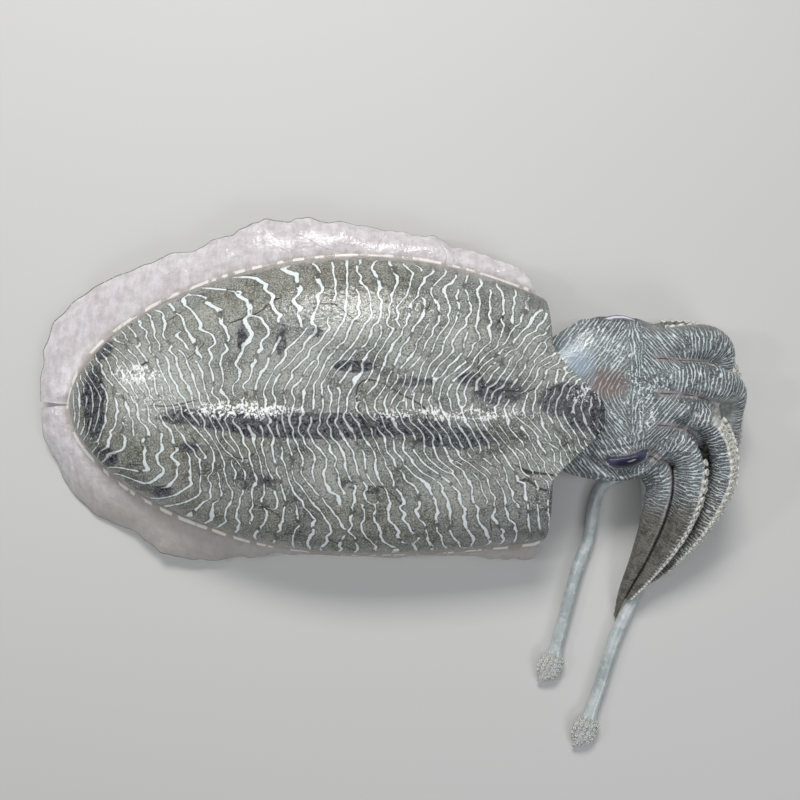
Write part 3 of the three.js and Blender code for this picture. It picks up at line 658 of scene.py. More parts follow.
# %% Dark and light patches of the back: centre, half sizes and strength
DARK_PATCHES = (
    (5, -14, 85, 9, 1.0), (-60, -11, 34, 8, 0.7), (90, -22, 45, 9, 0.5), (21, 27, 17, 4, 0.9),
    (100, 18, 9, 5, 0.8), (168, 3, 24, 12, 0.9), (178, -9, 14, 10, 0.7), (191, -7, 13, 16, 1.0),
    (-100, -8, 22, 7, 0.6), (-96, -30, 12, 5, 0.5), (-170, 2, 12, 34, 0.6), (-163, -38, 12, 9, 0.8),
    (-165, 40, 12, 10, 0.6), (-30, 44, 5, 11, 0.45), (-58, 48, 4, 12, 0.35), (-6, 50, 6, 5, 0.35),
    (16, -52, 9, 6, 0.4), (33, -58, 8, 4, 0.45), (-52, -52, 22, 9, 0.4), (60, 16, 20, 4, 0.5),
    (120, 9, 22, 10, 0.6), (-120, -62, 12, 6, 0.4),
)
LIGHT_PATCHES = (
    (18, 55, 26, 16, 0.7), (100, 45, 24, 12, 0.6), (10, -48, 34, 18, 0.55), (92, -60, 30, 14, 0.55),
    (-60, 18, 30, 10, 0.5), (-122, 16, 44, 40, 0.7), (-95, 60, 40, 16, 0.4), (-70, -62, 26, 12, 0.3),
    (-20, 30, 34, 18, 0.5), (60, 40, 26, 16, 0.45), (150, 34, 30, 18, 0.45), (140, -44, 36, 16, 0.45),
)


def patches(table, x, y):
    total = np.zeros_like(x)
    for centre_x, centre_y, half_x, half_y, strength in table:
        reach = np.hypot((x - centre_x) / half_x, (y - centre_y) / half_y)
        total = np.maximum(total, strength * (1 - smooth((reach - 0.45) / 0.9)))
    return total


print("patches", len(DARK_PATCHES), "dark and", len(LIGHT_PATCHES), "light")


# %% [markdown]
# A wave that turns faster than the grid's points can follow would break up, so the skin carries the bar's plain number
# and only the wave's slow difference from it, as a cosine and a sine. The finish puts the two together again.

# %% Bars on the mantle
BARS_SEED = 7
BARS_SPREAD = 0.8
BARS_ROUNDS = 3

rings_x, rings_y = rings[:, :, 0], rings[:, :, 1]
place = bar_place(rings_x, rings_y)
number = bar_number(place)
pace_rows = int((number.max() + 6) * CELLS)
pace_across = int(2 * TABLE_HALF / ACROSS_UNIT * CELLS)
side = np.abs(np.arange(pace_across) / CELLS * ACROSS_UNIT - TABLE_HALF)[None, :]
pace = mix(1.0, SIDE_PACE, smooth((side - 30) / 85)) * np.ones((pace_rows, 1))
waves = ridge_field(pace, BARS_SEED, BARS_SPREAD, BARS_ROUNDS)
small_kink = 0.24 * drift(1, place / 6 + 50, across / 5 + 40)
large_kink = 0.5 * drift(2, place / 23 + 20, across / 17 + 30)
bars = number + (small_kink + large_kink)
table_row, table_column = bars * CELLS, (across + TABLE_HALF) / ACROSS_UNIT * CELLS
wave = read_table(waves, table_row, table_column)
wave = wave / (np.abs(wave) + 1e-6) * np.exp(-2j * np.pi * bars)
stretch = np.gradient(place, axis=0) / (np.gradient(rings_x, axis=0) + 1e-3)
pitch = np.interp(place, PITCH_X, BAR_PITCH) / read_table(pace, table_row, table_column)
fields = {
    "bars": bars,
    "bar_cosine": wave.real,
    "bar_sine": wave.imag,
    "pitch": pitch / np.clip(stretch, 0.6, 1.2),
    "beyond": beyond,
    "outside": outside,
    "trim": trim,
    "dark": patches(DARK_PATCHES, rings_x, rings_y),
    "light": patches(LIGHT_PATCHES, rings_x, rings_y),
}
mantle_mesh = ring_mesh("mantle_skin", rings, fields)
print("mantle and fins", len(mantle_mesh.polygons), "faces")

# %% [markdown]
# Head and arms are one soft form, so they are made whole: a lofted head and eight bent tubes are given a common skin by
# a voxel remesh, which fuses what overlaps and leaves a crease where two arms lie side by side.

# %% Head sizes
# Station along the head: x, centre y, half width, top, bottom
HEAD = (
    (147.3, 0, 41, 57, 13), (156, 1, 45, 58, 13), (166, 2.5, 49, 58, 13), (180, 4, 56, 59, 12.5),
    (196, 5, 60, 60, 12), (212, 5, 61, 60.5, 12), (228, 5, 58, 60, 12), (243, 5.5, 51, 57, 12.5),
    (255, 6, 41, 51, 15), (263, 6.5, 26, 43, 22), (266, 6.5, 0, 33, 31),
)
# Each eye: its centre, the way it looks, the way its opening runs, which way the opening bends and how much of the
# ball's upper edge is silvery
EYES = (
    {"name": "eye_right", "centre": (214, -37, 49), "outward": (0.05, -0.42, 0.9), "along": (1, 0.24, 0.04),
     "turn": 1.0, "silver": 0.0},
    {"name": "eye_left", "centre": (211, 57.5, 38), "outward": (0, 0.99, 0.14), "along": (1, 0, 0),
     "turn": -0.6, "silver": -1.0},
)
EYE_HALF = (15.8, 7.4, 8.4)

# Each arm: half width at the root, how late it thins, the side that its suckers face and its centre line
ARM_FLATNESS = 0.78
ARM_TIP = 1.5
ARM_STEP = 1.0
ARM_SIDES = 48
ARMS = (
    ("arm_1_right", 12.8, 2, (0.85, -0.3, 0.1), (
        (236, -2, 45), (260, -5, 48), (275, -14, 48), (285, -36, 46), (286, -54, 43), (281, -73, 38),
        (272, -93, 32), (262, -110, 25), (252, -125, 18), (240, -137, 11))),
    ("arm_2_right", 13, 2, (0.8, -0.25, -0.15), (
        (236, -22, 42), (252, -29, 45), (261, -41, 45), (262, -63, 42), (256.5, -88, 35), (246.5, -112, 27),
        (226, -149, 12.5))),
    ("arm_3_right", 12.6, 1.4, (0.6, -0.2, -0.75), (
        (228, -34, 34), (241, -50, 33), (245, -61, 31), (241, -86, 26), (232, -117.6, 18), (223, -144, 9.5),
        (218.4, -165, 3.2))),
    ("arm_1_left", 12.8, 1.8, (-0.3, 0, -1), (
        (236, 19, 45), (262, 18, 48), (283, 15, 46), (295, 9, 38), (297, -6, 29), (295, -28, 25),
        (289, -56, 22.5), (281, -80, 19), (270, -102, 13), (262, -116, 8.5))),
    ("arm_2_left", 13.2, 1.6, (-0.3, 0, -1), (
        (236, 41, 39), (258, 45, 42), (276, 46, 40), (288, 39, 32.5), (288, 22, 26.5), (281, 2, 25),
        (275, -18, 25), (269, -42, 24), (264, -70, 20), (256, -95, 15), (250, -112, 10))),
    ("arm_4_right", 11.5, 1.6, (0.2, 0, 1), (
        (234, -10, 20), (254, -22, 13), (262, -48, 8.5), (259, -74, 7.5), (252, -96, 6.3), (247, -114, 3.4))),
    ("arm_4_left", 11.5, 1.6, (0.2, 0, 1), (
        (236, 20, 20), (262, 19, 12), (279, 2, 8.5), (284, -25, 8), (281, -50, 8), (272, -75, 7), (261, -96, 6),
        (252, -113, 3.4))),
    ("arm_3_left", 12, 1.6, (-0.4, 0, 1), (
        (234, 46, 26), (257, 52, 15), (281, 49, 10), (301, 25, 9), (305, -8, 9), (304, -36, 8), (294, -66, 7),
        (278, -97, 6), (264, -115, 3.4))),
)
print("arms", [row[0] for row in ARMS])

# %% A smooth curve through points


SAMPLES = 60


def curve_points(path, step):
    """Points, directions and lengths along a centripetal curve, about step millimetres apart."""
    path = np.array(path, dtype=float)
    path = np.vstack([2 * path[0] - path[1], path, 2 * path[-1] - path[-2]])
    fine = []
    for a, b, c, d in zip(path[:-3], path[1:-2], path[2:-1], path[3:]):
        gap0, gap1, gap2 = (max(np.linalg.norm(q - p) ** 0.5, 1e-4) for p, q in ((a, b), (b, c), (c, d)))
        leave = ((b - a) / gap0 - (c - a) / (gap0 + gap1) + (c - b) / gap1) * gap1
        arrive = ((c - b) / gap1 - (d - b) / (gap1 + gap2) + (d - c) / gap2) * gap1
        t = np.linspace(0, 1, SAMPLES, endpoint=False)[:, None]
        cubic = 2 * b - 2 * c + leave + arrive
        square = -3 * b + 3 * c - 2 * leave - arrive
        fine.append(cubic * t**3 + square * t**2 + leave * t + b)
    fine = np.vstack(fine + [path[-2][None]])
    length = np.concatenate([[0], np.cumsum(np.linalg.norm(np.diff(fine, axis=0), axis=1))])
    even = np.linspace(0, length[-1], max(int(length[-1] / step), 4) + 1)
    points = np.stack([np.interp(even, length, fine[:, axis]) for axis in range(3)], 1)
    directions = np.gradient(points, axis=0)
    return points, directions / np.linalg.norm(directions, axis=1)[:, None], even


def limb_frames(path, facing, step):
    """Centre line with its direction, the way the suckers face and the way across, at even distances."""
    points, directions, even = curve_points(path, step)
    wanted = np.array(facing, dtype=float)
    face = wanted - directions * (directions @ wanted)[:, None]
    face /= np.linalg.norm(face, axis=1)[:, None]
    return {"points": points, "along": directions, "face": face, "side": np.cross(directions, face), "length": even}


# %% Rings of the head, the stalks and the arms
# Where the skirt stands on an arm's round, measured from the middle of the sucker side, how wide it is, its height
# and that of its scallops in half widths, and how far from the root it begins
SKIRT_ANGLE, SKIRT_SPREAD = 1.18, 0.2
SKIRT_HEIGHT, SCALLOP_HEIGHT = 0.07, 0.1
SKIRT_START, SKIRT_FADE = 14, 20
# How much the sucker side is flattened, and how far round
ORAL_FLATTENING, ORAL_SPREAD = 0.14, 0.7


def oval_rings(stations, rows, across):
    """Rings of a form given as stations: x, centre y, half width, top and bottom, with a smooth curve through them."""
    place = np.linspace(0, len(stations) - 1, rows + 1)
    table = np.array(stations, dtype=float)
    low = np.clip(np.floor(place).astype(int), 0, len(table) - 2)
    k = (place - low)[:, None]
    before, after = table[np.maximum(low - 1, 0)], table[np.minimum(low + 2, len(table) - 1)]
    first, second = (table[low + 1] - before) / 2, (after - table[low]) / 2
    rise = table[low + 1] - table[low]
    rows_now = (first + second - 2 * rise) * k**3 + (3 * rise - 2 * first - second) * k**2 + first * k + table[low]
    angle = np.linspace(0, 2 * math.pi, across + 1)
    x, centre, half, top, bottom = (column[:, None] for column in rows_now.T)
    y = centre + np.maximum(half, 0) * np.cos(angle)
    z = (top + bottom) / 2 + (top - bottom) / 2 * np.sin(angle)
    z = np.where(half <= 0.01, (top + bottom) / 2, z)
    return np.stack([x + 0 * y, y, z], 2)


def tube_rings(frames, half, thick, across):
    angle = np.linspace(0, 2 * math.pi, across + 1)
    sideways = frames["side"][:, None, :] * (half[:, None] * np.cos(angle))[:, :, None]
    outward = frames["face"][:, None, :] * (thick[:, None] * np.sin(angle))[:, :, None]
    return frames["points"][:, None, :] + sideways + outward


def arm_rings(frames, across):
    """Rings of an arm: flat on the inner side, with the scalloped skirt that runs along both edges of the suckers."""
    angle = np.linspace(0, 2 * math.pi, across + 1)
    from_oral = np.abs(np.arctan2(np.cos(angle), np.sin(angle)))
    half, length = frames["half"][:, None], frames["length"][:, None]
    notch = 0.5 + 0.5 * np.cos(2 * math.pi * np.cumsum(np.gradient(length, axis=0) / (0.42 * half + 0.8), 0))
    skirt = bell(from_oral, SKIRT_ANGLE, SKIRT_SPREAD) * (SKIRT_HEIGHT + SCALLOP_HEIGHT * notch)
    skirt = skirt * smooth((length - SKIRT_START) / SKIRT_FADE)
    grow = (1 + skirt) * (1 - ORAL_FLATTENING * bell(from_oral, 0.0, ORAL_SPREAD))
    sideways = frames["side"][:, None, :] * (half * grow * np.cos(angle))[:, :, None]
    outward = frames["face"][:, None, :] * (half * ARM_FLATNESS * grow * np.sin(angle))[:, :, None]
    return frames["points"][:, None, :] + sideways + outward


def closed_ends(rings):
    """The rings with a point before the first and after the last."""
    first = np.repeat(rings[:1, :-1].mean(1, keepdims=True), rings.shape[1], 1)
    last = np.repeat(rings[-1:, :-1].mean(1, keepdims=True), rings.shape[1], 1)
    return np.concatenate([first, rings, last])


# %% The eight arms
limbs = []
arm_meshes = []
for name, root, taper, facing, path in ARMS:
    frames = limb_frames(path, facing, ARM_STEP)
    half = mix(root, ARM_TIP, (frames["length"] / frames["length"][-1]) ** taper)
    frames.update(name=name, half=half, thick=half * ARM_FLATNESS)
    limbs.append(frames)
    arm_meshes.append(ring_mesh(name, closed_ends(arm_rings(frames, ARM_SIDES))))
print("arm lengths", [round(float(limb["length"][-1])) for limb in limbs])

# %% One skin for head and arms
HEAD_VOXEL = 1.25
HEAD_ROUNDS = 5
# Flesh between the roots of the arms, in stations like the head's
WEB = (
    (225, 8, 30, 52, 24), (245, 8, 38, 52, 24), (262, 6, 38, 50, 26), (276, 4, 33, 46, 28), (286, 2, 20, 40, 31),
    (289, 2, 0, 36, 34),
)


def fused(name, meshes, voxel, rounds):
    """Voxel skin over several closed meshes, smoothed a few times."""
    bm = bmesh.new()
    for mesh in meshes:
        bm.from_mesh(mesh)
    obj = new_object(name, mesh_from(bm, name))
    remesh = obj.modifiers.new("skin", "REMESH")
    remesh.mode = "VOXEL"
    remesh.voxel_size = voxel * MM
    relax = obj.modifiers.new("relax", "SMOOTH")
    relax.factor = 0.5
    relax.iterations = rounds
    result = bpy.data.meshes.new_from_object(obj.evaluated_get(bpy.context.evaluated_depsgraph_get()))
    obj.modifiers.clear()
    obj.data = result
    result.name = name
    return obj


web = ring_mesh("web", closed_ends(oval_rings(WEB, 40, 48)))
head_mesh = ring_mesh("head", closed_ends(oval_rings(HEAD, 60, 72)))
head_skin = fused("head_skin", [head_mesh, web] + arm_meshes, HEAD_VOXEL, HEAD_ROUNDS)
print("head and arms", len(head_skin.data.polygons), "faces")

# %% [markdown]
# The eye is a bean-shaped opening in the skin with the ball behind it. The skin is pressed in under the ball inside
# the opening and raised to a lid round it. A fine ring of flesh finishes the lid's edge.

# %% The openings of the eyes
# Half sizes of the opening, how much its ends bend up and how far its middle then lies below the ball's
EYE_OPENING = (14.8, 6.0)
EYE_BEND = 2.4
EYE_LOWER = 0.9
# How many openings wide and how deep the skin is moved, how far it is sunk under the ball and raised over it
EYE_REACH = 3.4
EYE_DEPTH = 14
EYE_SUNK = 2.2
LID_RISE = 0.9


def eye_axes(eye):
    out = Vector(eye["outward"]).normalized()
    along = Vector(eye["along"])
    along = (along - out * out.dot(along)).normalized()
    return np.array([along, out.cross(along), out])


def eye_local(eye, points):
    """Distances of points along an eye, up across it and out of the head."""
    return ((points - np.array(eye["centre"])) @ eye_axes(eye).T).T


def ball_height(along, up):
    left = 1 - (along / EYE_HALF[0]) ** 2 - (up / EYE_HALF[1]) ** 2
    return EYE_HALF[2] * np.sqrt(np.clip(left, 0, 1))


def eye_bend(eye, along):
    return (EYE_BEND * (along / EYE_OPENING[0]) ** 2 - EYE_LOWER) * eye["turn"]


def opening_reach(eye, along, up):
    """1 on the opening's edge, less inside it."""
    return np.hypot(along / EYE_OPENING[0], (up - eye_bend(eye, along)) / EYE_OPENING[1])


points = vertices_of(head_skin.data)
for eye in EYES:
    along, up, out = eye_local(eye, points)
    reach = opening_reach(eye, along, up)
    near = (reach < EYE_REACH) & (out > -EYE_DEPTH)
    ball = ball_height(along, up)
    raised = mix(np.maximum(ball + LID_RISE, out), out, smooth((reach - 1.55) / 1.0))
    target = mix(ball - EYE_SUNK, raised, smooth((reach - 0.86) / 0.2))
    fold = 2.6 * bell(reach, 2.35, 0.38) * smooth(-up * eye["turn"] / 6) - 1.2 * bell(reach, 1.75, 0.25)
    target = target + fold * (1 - smooth((reach - 2.8) / 0.6))
    out = np.where(near, target, out)
    points = np.array(eye["centre"]) + np.stack([along, up, out], 1) @ eye_axes(eye)
head_skin.data.vertices.foreach_set("co", (points * MM).ravel())
head_skin.data.update()

# %% Eyeballs and lids
BALL_FIELDS = ("eye_along", "eye_up", "silver")
LID_POINTS = 121
# The lid's ring stands this many openings wide and this far over the ball; half width and half height of its section
LID_WIDER, LID_OVER = 1.03, 0.35
LID_HALF = (1.25, 0.9)


def eyeball(eye):
    bm = bmesh.new()
    bmesh.ops.create_uvsphere(bm, u_segments=64, v_segments=40, radius=1.0)
    layers = [bm.verts.layers.float.new(name) for name in BALL_FIELDS]
    for vert in bm.verts:
        local = np.array(vert.co)
        for layer, value in zip(layers, (local[0], local[1], eye["silver"] * local[1])):
            vert[layer] = value
        vert.co = (np.array(eye["centre"]) + (local * EYE_HALF) @ eye_axes(eye)) * MM
    return new_object(eye["name"] + "_ball", mesh_from(bm, eye["name"]))


def eyelid(eye):
    angle = np.linspace(0, 2 * math.pi, LID_POINTS)
    along = EYE_OPENING[0] * LID_WIDER * np.cos(angle)
    up = EYE_OPENING[1] * LID_WIDER * np.sin(angle) + eye_bend(eye, along)
    middle = np.stack([along, up, ball_height(along, up) + LID_OVER], 1)
    swing_out = np.stack([np.cos(angle), np.sin(angle), 0 * angle], 1)
    around = np.linspace(0, 2 * math.pi, 17)[None, :, None]
    section = swing_out[:, None] * LID_HALF[0] * np.cos(around) + np.array([0, 0, LID_HALF[1]]) * np.sin(around)
    rim = (section + middle[:, None]) @ eye_axes(eye) + np.array(eye["centre"])
    return new_object(eye["name"] + "_lid", ring_mesh(eye["name"] + "_lid", rim))


eye_pieces = [(eyeball(eye), eyelid(eye), eye["name"]) for eye in EYES]
print("eyes", [ball.name for ball, _, _ in eye_pieces])

# %% [markdown]
# Stripes cross every arm, so the skin has to know how far along an arm each point is and how far round it. The nearest
# centre line tells both. A share tells where the head ends and the arms begin.

# %% Where each point of the head and arms lies
LIMB_FIELDS = ("arm_along", "arm_round", "oral", "limb", "seam")
# Where the head comes out of the mantle and where it ends, and how many points are worked on at once
HEAD_START = 150
HEAD_END = 262
POINTS_AT_ONCE = 20000


def head_section(points):
    """How many half sizes points lie from the middle of the head's section, and the smaller half size there."""
    rows = np.array(HEAD, dtype=float)
    centre, half, top, bottom = (np.interp(points[:, 0], rows[:, 0], rows[:, column]) for column in range(1, 5))
    half, tall = np.maximum(half, 1e-3), np.maximum((top - bottom) / 2, 1e-3)
    share = np.hypot((points[:, 1] - centre) / half, (points[:, 2] - (top + bottom) / 2) / tall)
    return share, np.minimum(half, tall)


def head_reach(points):
    """Distance from the head's own surface, outside it positive."""
    share, half = head_section(points)
    return (share - 1) * half + np.maximum(points[:, 0] - HEAD_END, 0)


def inside_head(point):
    return HEAD_START < point[0] < HEAD_END + 1 and head_section(point[None])[0][0] < 1


def limb_coordinates(points, limbs):
    """For each point the place on its nearest limb, and the distances to that limb and on to the next one."""
    best = np.full(len(points), 1e9)
    second = np.full(len(points), 1e9)
    found = {key: np.zeros(len(points)) for key in LIMB_FIELDS[:4]}
    for index, limb in enumerate(limbs):
        for start in range(0, len(points), POINTS_AT_ONCE):
            part = slice(start, start + POINTS_AT_ONCE)
            square = (points[part] ** 2).sum(1)[:, None] + (limb["points"] ** 2).sum(1)[None]
            distance = np.sqrt(np.maximum(square - 2 * points[part] @ limb["points"].T, 0))
            distance = distance - limb["half"][None] * 0.9
            nearest = distance.argmin(1)
            close = distance[np.arange(len(nearest)), nearest]
            away = points[part] - limb["points"][nearest]
            face = (away * limb["face"][nearest]).sum(1) / limb["thick"][nearest]
            side = (away * limb["side"][nearest]).sum(1) / limb["half"][nearest]
            ahead = (away * limb["along"][nearest]).sum(1)
            better = close < best[part]
            second[part] = np.where(better, best[part], np.minimum(second[part], close))
            best[part] = np.where(better, close, best[part])
            values = {
                "arm_along": limb["length"][nearest] + ahead,
                "arm_round": np.arctan2(side, -face) * (limb["half"][nearest] * 0.6 + 4),
                "oral": face / np.maximum(np.hypot(face, side), 1e-6),
                "limb": np.full(len(nearest), float(index)),
            }
            for key, value in values.items():
                found[key][part] = np.where(better, value, found[key][part])
    found["limb_reach"] = best
    found["seam"] = second - best
    return found


# %% [markdown]
# The arms begin at x 250 on the left and 230 on the right, with a tongue back to 224 between the two upper ones, and
# everything beyond y -70 is arm. The eyes' own number is the distance from the nearer opening, in openings. Points deep
# below an eye count as far from it.

# %% Numbers on the head and arms
found = limb_coordinates(points, limbs)
arm_start = mix(250, 230, smooth((-points[:, 1] - 16) / 12))
arm_start = mix(arm_start, 224, bell(points[:, 1], 17.5, 7))
arm_share = smooth(0.5 + (head_reach(points) - found["limb_reach"]) / 7) * smooth((points[:, 0] - arm_start) / 13)
arm_share = np.maximum(arm_share, smooth((-points[:, 1] - 62) / 8))
paint(head_skin.data, "arm_share", arm_share)
for key in LIMB_FIELDS:
    paint(head_skin.data, key, found[key])
eye_gaps = []
for eye in EYES:
    along, up, out = eye_local(eye, points)
    eye_gaps.append(opening_reach(eye, along, up) + 10 * (out < -16))
paint(head_skin.data, "eye_gap", np.min(eye_gaps, axis=0))
print("arm share", round(float(arm_share.mean()), 2))

# %% [markdown]
# A tentacle is a long smooth stalk that swells into a club and narrows to a tip. The stalk and its club are one tube.

# %% Tentacles
# Half width of a stalk, half width and half thickness of a club, then each tentacle's stalk and club
STALK_HALF = 4.7
CLUB_HALF = 9.0
CLUB_THICK = 4.2
TENTACLES = (
    ("tentacle_right", (
        (230, -26, 21), (247, -37, 17), (239, -46, 8), (223, -54, 5.4), (207.5, -64, 5.2), (202, -78, 5.2),
        (197.5, -104, 5.2), (191, -121, 5.2), (184, -145, 5.2), (177, -171, 5.2), (172.5, -188, 5.2)), (
        (172.5, -188, 5.2), (169.5, -198, 5.2), (164.5, -207, 5), (158.6, -214.8, 4.4))),
    ("tentacle_left", (
        (226, 34, 19), (247, 38, 12), (241, 31, 6.5), (232, 12, 5.2), (231, -16, 5.2), (240, -48, 5.2),
        (243, -75, 5.2), (240, -102, 5.2), (237, -124, 5.2), (236, -142, 5.2), (228, -158, 5.2),
        (217, -184, 5.2), (206, -219, 5.2), (199.5, -237, 5.2)), (
        (199.5, -237, 5.2), (196.5, -247, 5.2), (191.5, -256.5, 5), (185.6, -265, 4.4))),
)


def club_half_width(u):
    swell = np.sin(math.pi * np.clip(u * 0.82 + 0.1, 0, 1)) ** 0.8
    return mix(STALK_HALF, CLUB_HALF, swell) * (1 - smooth((u - 0.62) / 0.38) * 0.82)


tentacle_skins = []
for name, stalk, club in TENTACLES:
    frames = limb_frames(stalk, (0, 0, 1), 2.0)
    tip = limb_frames(club, (0, 0, 1), 1.0)
    u = tip["length"] / tip["length"][-1]
    plain, rise = np.full(len(frames["points"]) - 1, STALK_HALF), smooth(u * 3)
    club_half = mix(STALK_HALF, club_half_width(u), rise)
    half = np.concatenate([plain, club_half])
    thick = np.concatenate([plain, np.minimum(club_half, mix(STALK_HALF, CLUB_THICK, rise))])
    whole = {key: np.concatenate([frames[key][:-1], tip[key]]) for key in ("points", "along", "face", "side")}
    whole["length"] = np.concatenate([frames["length"][:-1], frames["length"][-1] + tip["length"]])
    whole.update(name=name, half=half, thick=thick, club_start=frames["length"][-1])
    skin = new_object(name, ring_mesh(name, closed_ends(tube_rings(whole, half, thick, 30))))
    from_tip = np.linalg.norm(vertices_of(skin.data)[:, None] - whole["points"][None, ::4], axis=2).argmin(1) * 4
    paint(skin.data, "club", smooth((whole["length"][from_tip] - whole["club_start"]) / 12))
    tentacle_skins.append((skin, whole))
    print(name, round(float(whole["length"][-1])), "mm")

# %% [markdown]
# The suckers are small cups in rows along the inner side of each arm. Each is a few rings of eight points, turned to
# stand on the surface, and a cup that would sit inside a neighbour is left out.

# %% Sucker cups
SUCKER_SIDES = 8
# Radius and height of each ring in sucker radii, from the root to the bottom of the cup
SUCKER_RINGS = ((0.65, -0.4), (0.75, 0.4), (1.0, 0.8), (0.75, 0.92), (0.35, 0.5))
# Degrees of each row from the middle of the sucker side, on the arms and on the clubs
SUCKER_ROWS = (-60, -21, 21, 60)
CLUB_ROWS = (-60, -35, -12, 12, 35, 60)
# Radius of a sucker in half widths of its limb, and the distance between two suckers of a row in radii
SUCKER_SHARE, CLUB_SHARE = 0.21, 0.16
SUCKER_SPACING = 2.25
# Every second row starts this much later
ROW_OFFSET = 2.2
# How far along an arm the suckers start, and their least radius; the two arms that show theirs keep large ones
ARM_FIRST, CLUB_FIRST, LEAST_RADIUS = 18, 4, 0.55
SUCKER_START = {"arm_1_right": 46, "arm_2_right": 34}
SUCKER_LEAST = {"arm_1_right": 1.25, "arm_2_right": 1.25}
SUCKER_SEED = 5


def sucker_cup():
    """One cup of radius 1, standing on the origin."""
    bm = bmesh.new()
    ring = None
    for share, height in SUCKER_RINGS:
        lifted = Matrix.Translation((0, 0, height))
        made = bmesh.ops.create_circle(bm, segments=SUCKER_SIDES, radius=share, matrix=lifted)
        now = list({edge for vert in made["verts"] for edge in vert.link_edges})
        if ring:
            bmesh.ops.bridge_loops(bm, edges=ring + now)
        else:
            bmesh.ops.contextual_create(bm, geom=made["verts"])
        ring = now
    bmesh.ops.contextual_create(bm, geom=made["verts"])
    bmesh.ops.triangulate(bm, faces=bm.faces)
    bmesh.ops.recalc_face_normals(bm, faces=bm.faces)
    return mesh_from(bm, "cup")


# %% [markdown]
# One small mesh is repeated at every place in one go, which is much faster than some 1,800 meshes joined one by one.

# %% Copies of a cup


def repeated(name, mesh, places):
    """One mesh with a copy of a small one at each place: a point, the way it stands and its radius."""
    base = vertices_of(mesh) * MM
    corners = np.empty(len(mesh.polygons) * 3, dtype=int)
    mesh.polygons.foreach_get("vertices", corners)
    copies = []
    for point, outward, radius in places:
        turn = np.array(Vector((0, 0, 1)).rotation_difference(Vector(outward)).to_matrix())
        copies.append(np.asarray(point) + base @ turn.T * radius)
    offsets = np.arange(len(places))[:, None] * len(base)
    faces = (corners[None] + offsets).reshape(-1, 3)
    whole = bpy.data.meshes.new(name)
    whole.from_pydata((np.concatenate(copies) * MM).tolist(), [], faces.tolist())
    inside = 1 - smooth((np.hypot(base[:, 0], base[:, 1]) - 0.4) / 0.5)
    paint(whole, "cup", np.tile(inside, len(places)))
    return whole


# %% Where suckers sit


def sucker_places(limb, rows, share, first, rng, blockers):
    """Rows of suckers along a limb, without those that would sit inside a blocker, the head or the floor."""
    places = []
    for row_index, row in enumerate(rows):
        distance = first + (row_index % 2) * ROW_OFFSET
        end = limb["length"][-1]
        while distance < end - 1.5:
            half = float(np.interp(distance, limb["length"], limb["half"]))
            thick = float(np.interp(distance, limb["length"], limb["thick"]))
            at = {
                key: np.array([np.interp(distance, limb["length"], limb[key][:, axis]) for axis in range(3)])
                for key in ("points", "face", "side")
            }
            radius = max(half * share, SUCKER_LEAST.get(limb["name"], LEAST_RADIUS))
            radius *= 1 + 0.12 * rng.uniform(-1, 1)
            angle = math.radians(90 + row)
            outward = at["side"] * math.cos(angle) / half + at["face"] * math.sin(angle) / thick
            outward /= np.linalg.norm(outward)
            point = at["points"] + at["side"] * half * math.cos(angle) + at["face"] * thick * math.sin(angle)
            top = point + outward * radius
            clear = all(
                (np.linalg.norm(other["points"] - top, axis=1) > other["half"] * 0.86 + radius * 0.3).all()
                for other in blockers
                if other is not limb
            )
            if clear and top[2] > 1.0 and not inside_head(top):
                places.append((point, outward, radius))
            distance += radius * SUCKER_SPACING
    return places


# %% All suckers
rng = np.random.default_rng(SUCKER_SEED)
tentacles = [whole for _, whole in tentacle_skins]
found = []
for limb in limbs:
    first = SUCKER_START.get(limb["name"], ARM_FIRST)
    found.append(sucker_places(limb, SUCKER_ROWS, SUCKER_SHARE, first, rng, limbs + tentacles))
for limb in tentacles:
    found.append(sucker_places(limb, CLUB_ROWS, CLUB_SHARE, limb["club_start"] + CLUB_FIRST, rng, limbs))
suckers = new_object("suckers", repeated("suckers", sucker_cup(), sum(found, [])))
print("suckers", [len(places) for places in found], len(suckers.data.polygons), "faces")

# %% [markdown]
# Every finish is layers of colour over a ground, and noise of several sizes decides where each layer shows. On the
# mantle these are grain, pebbles, lumps and clouds, each about zero. A bar lies where the count of bars is whole. It
# swells, thins and breaks with the noise, and a darker halo runs beside it.

# %% Places where sparkle highlights are painted into the colour: centre, half sizes and strength
PAINTED_SPARKLE_BACK = (((-134, 22), (26, 9), 1), ((-58, -3), (50, 8), 1), ((85, -6), (80, 6), 0.8), ((182, 8), (18, 9), 0.7))
PAINTED_SPARKLE_HEAD = (((226, -6), (12, 14), 1), ((208, 38), (16, 9), 0.8), ((214, -22), (14, 8), 0.5))
print("wet places", len(PAINTED_SPARKLE_BACK) + len(PAINTED_SPARKLE_HEAD))

# %% Finish of the mantle and fins
skin_material, shader, start = new_material("mantle finish", 0.13, specular=0.3)
point = place_in_mm(start)
x, y = along_axis(point, 0), along_axis(point, 1)
grain, pebbles = swing(point, 1.1, 2.0, 0.6), swing(point, 2.8)
lumps, clouds = swing(point, 7.0, 3.0, 0.55), swing(point, 26.0, 3.0, 0.55)
bars, cosine, sine, pitch, beyond, outside, trim, dark, light = (attribute(start, name) for name in fields)

# The bars, their halo and the fine cracks
turns = bars + sine.maths("ARCTAN2", cosine) * (0.5 / math.pi)
from_line = (turns - turns.maths("ROUND")).maths("ABSOLUTE") * pitch + pebbles * 1.5 + grain * 0.9
past_line = from_line - (pitch * 0.085 - 0.05 + lumps * 1.3 + clouds * 1.1)
unbroken = 1 - noise(point, 10.0).between(0.58, 0.64)
clear_of_rim = 1 - (outside + lumps * 7).between(-7.0, -3.5) * 0.85
line = (1 - past_line.between(-0.2, 0.3)) * unbroken * clear_of_rim
halo = 1 - past_line.between(0.2, 1.5)
crack = 1 - swing(point, 62.0, 1.0, 0.3).maths("ABSOLUTE").between(0.0015, 0.005)
crack = crack * noise(point, 31.0, 1.0).between(0.5, 0.56)

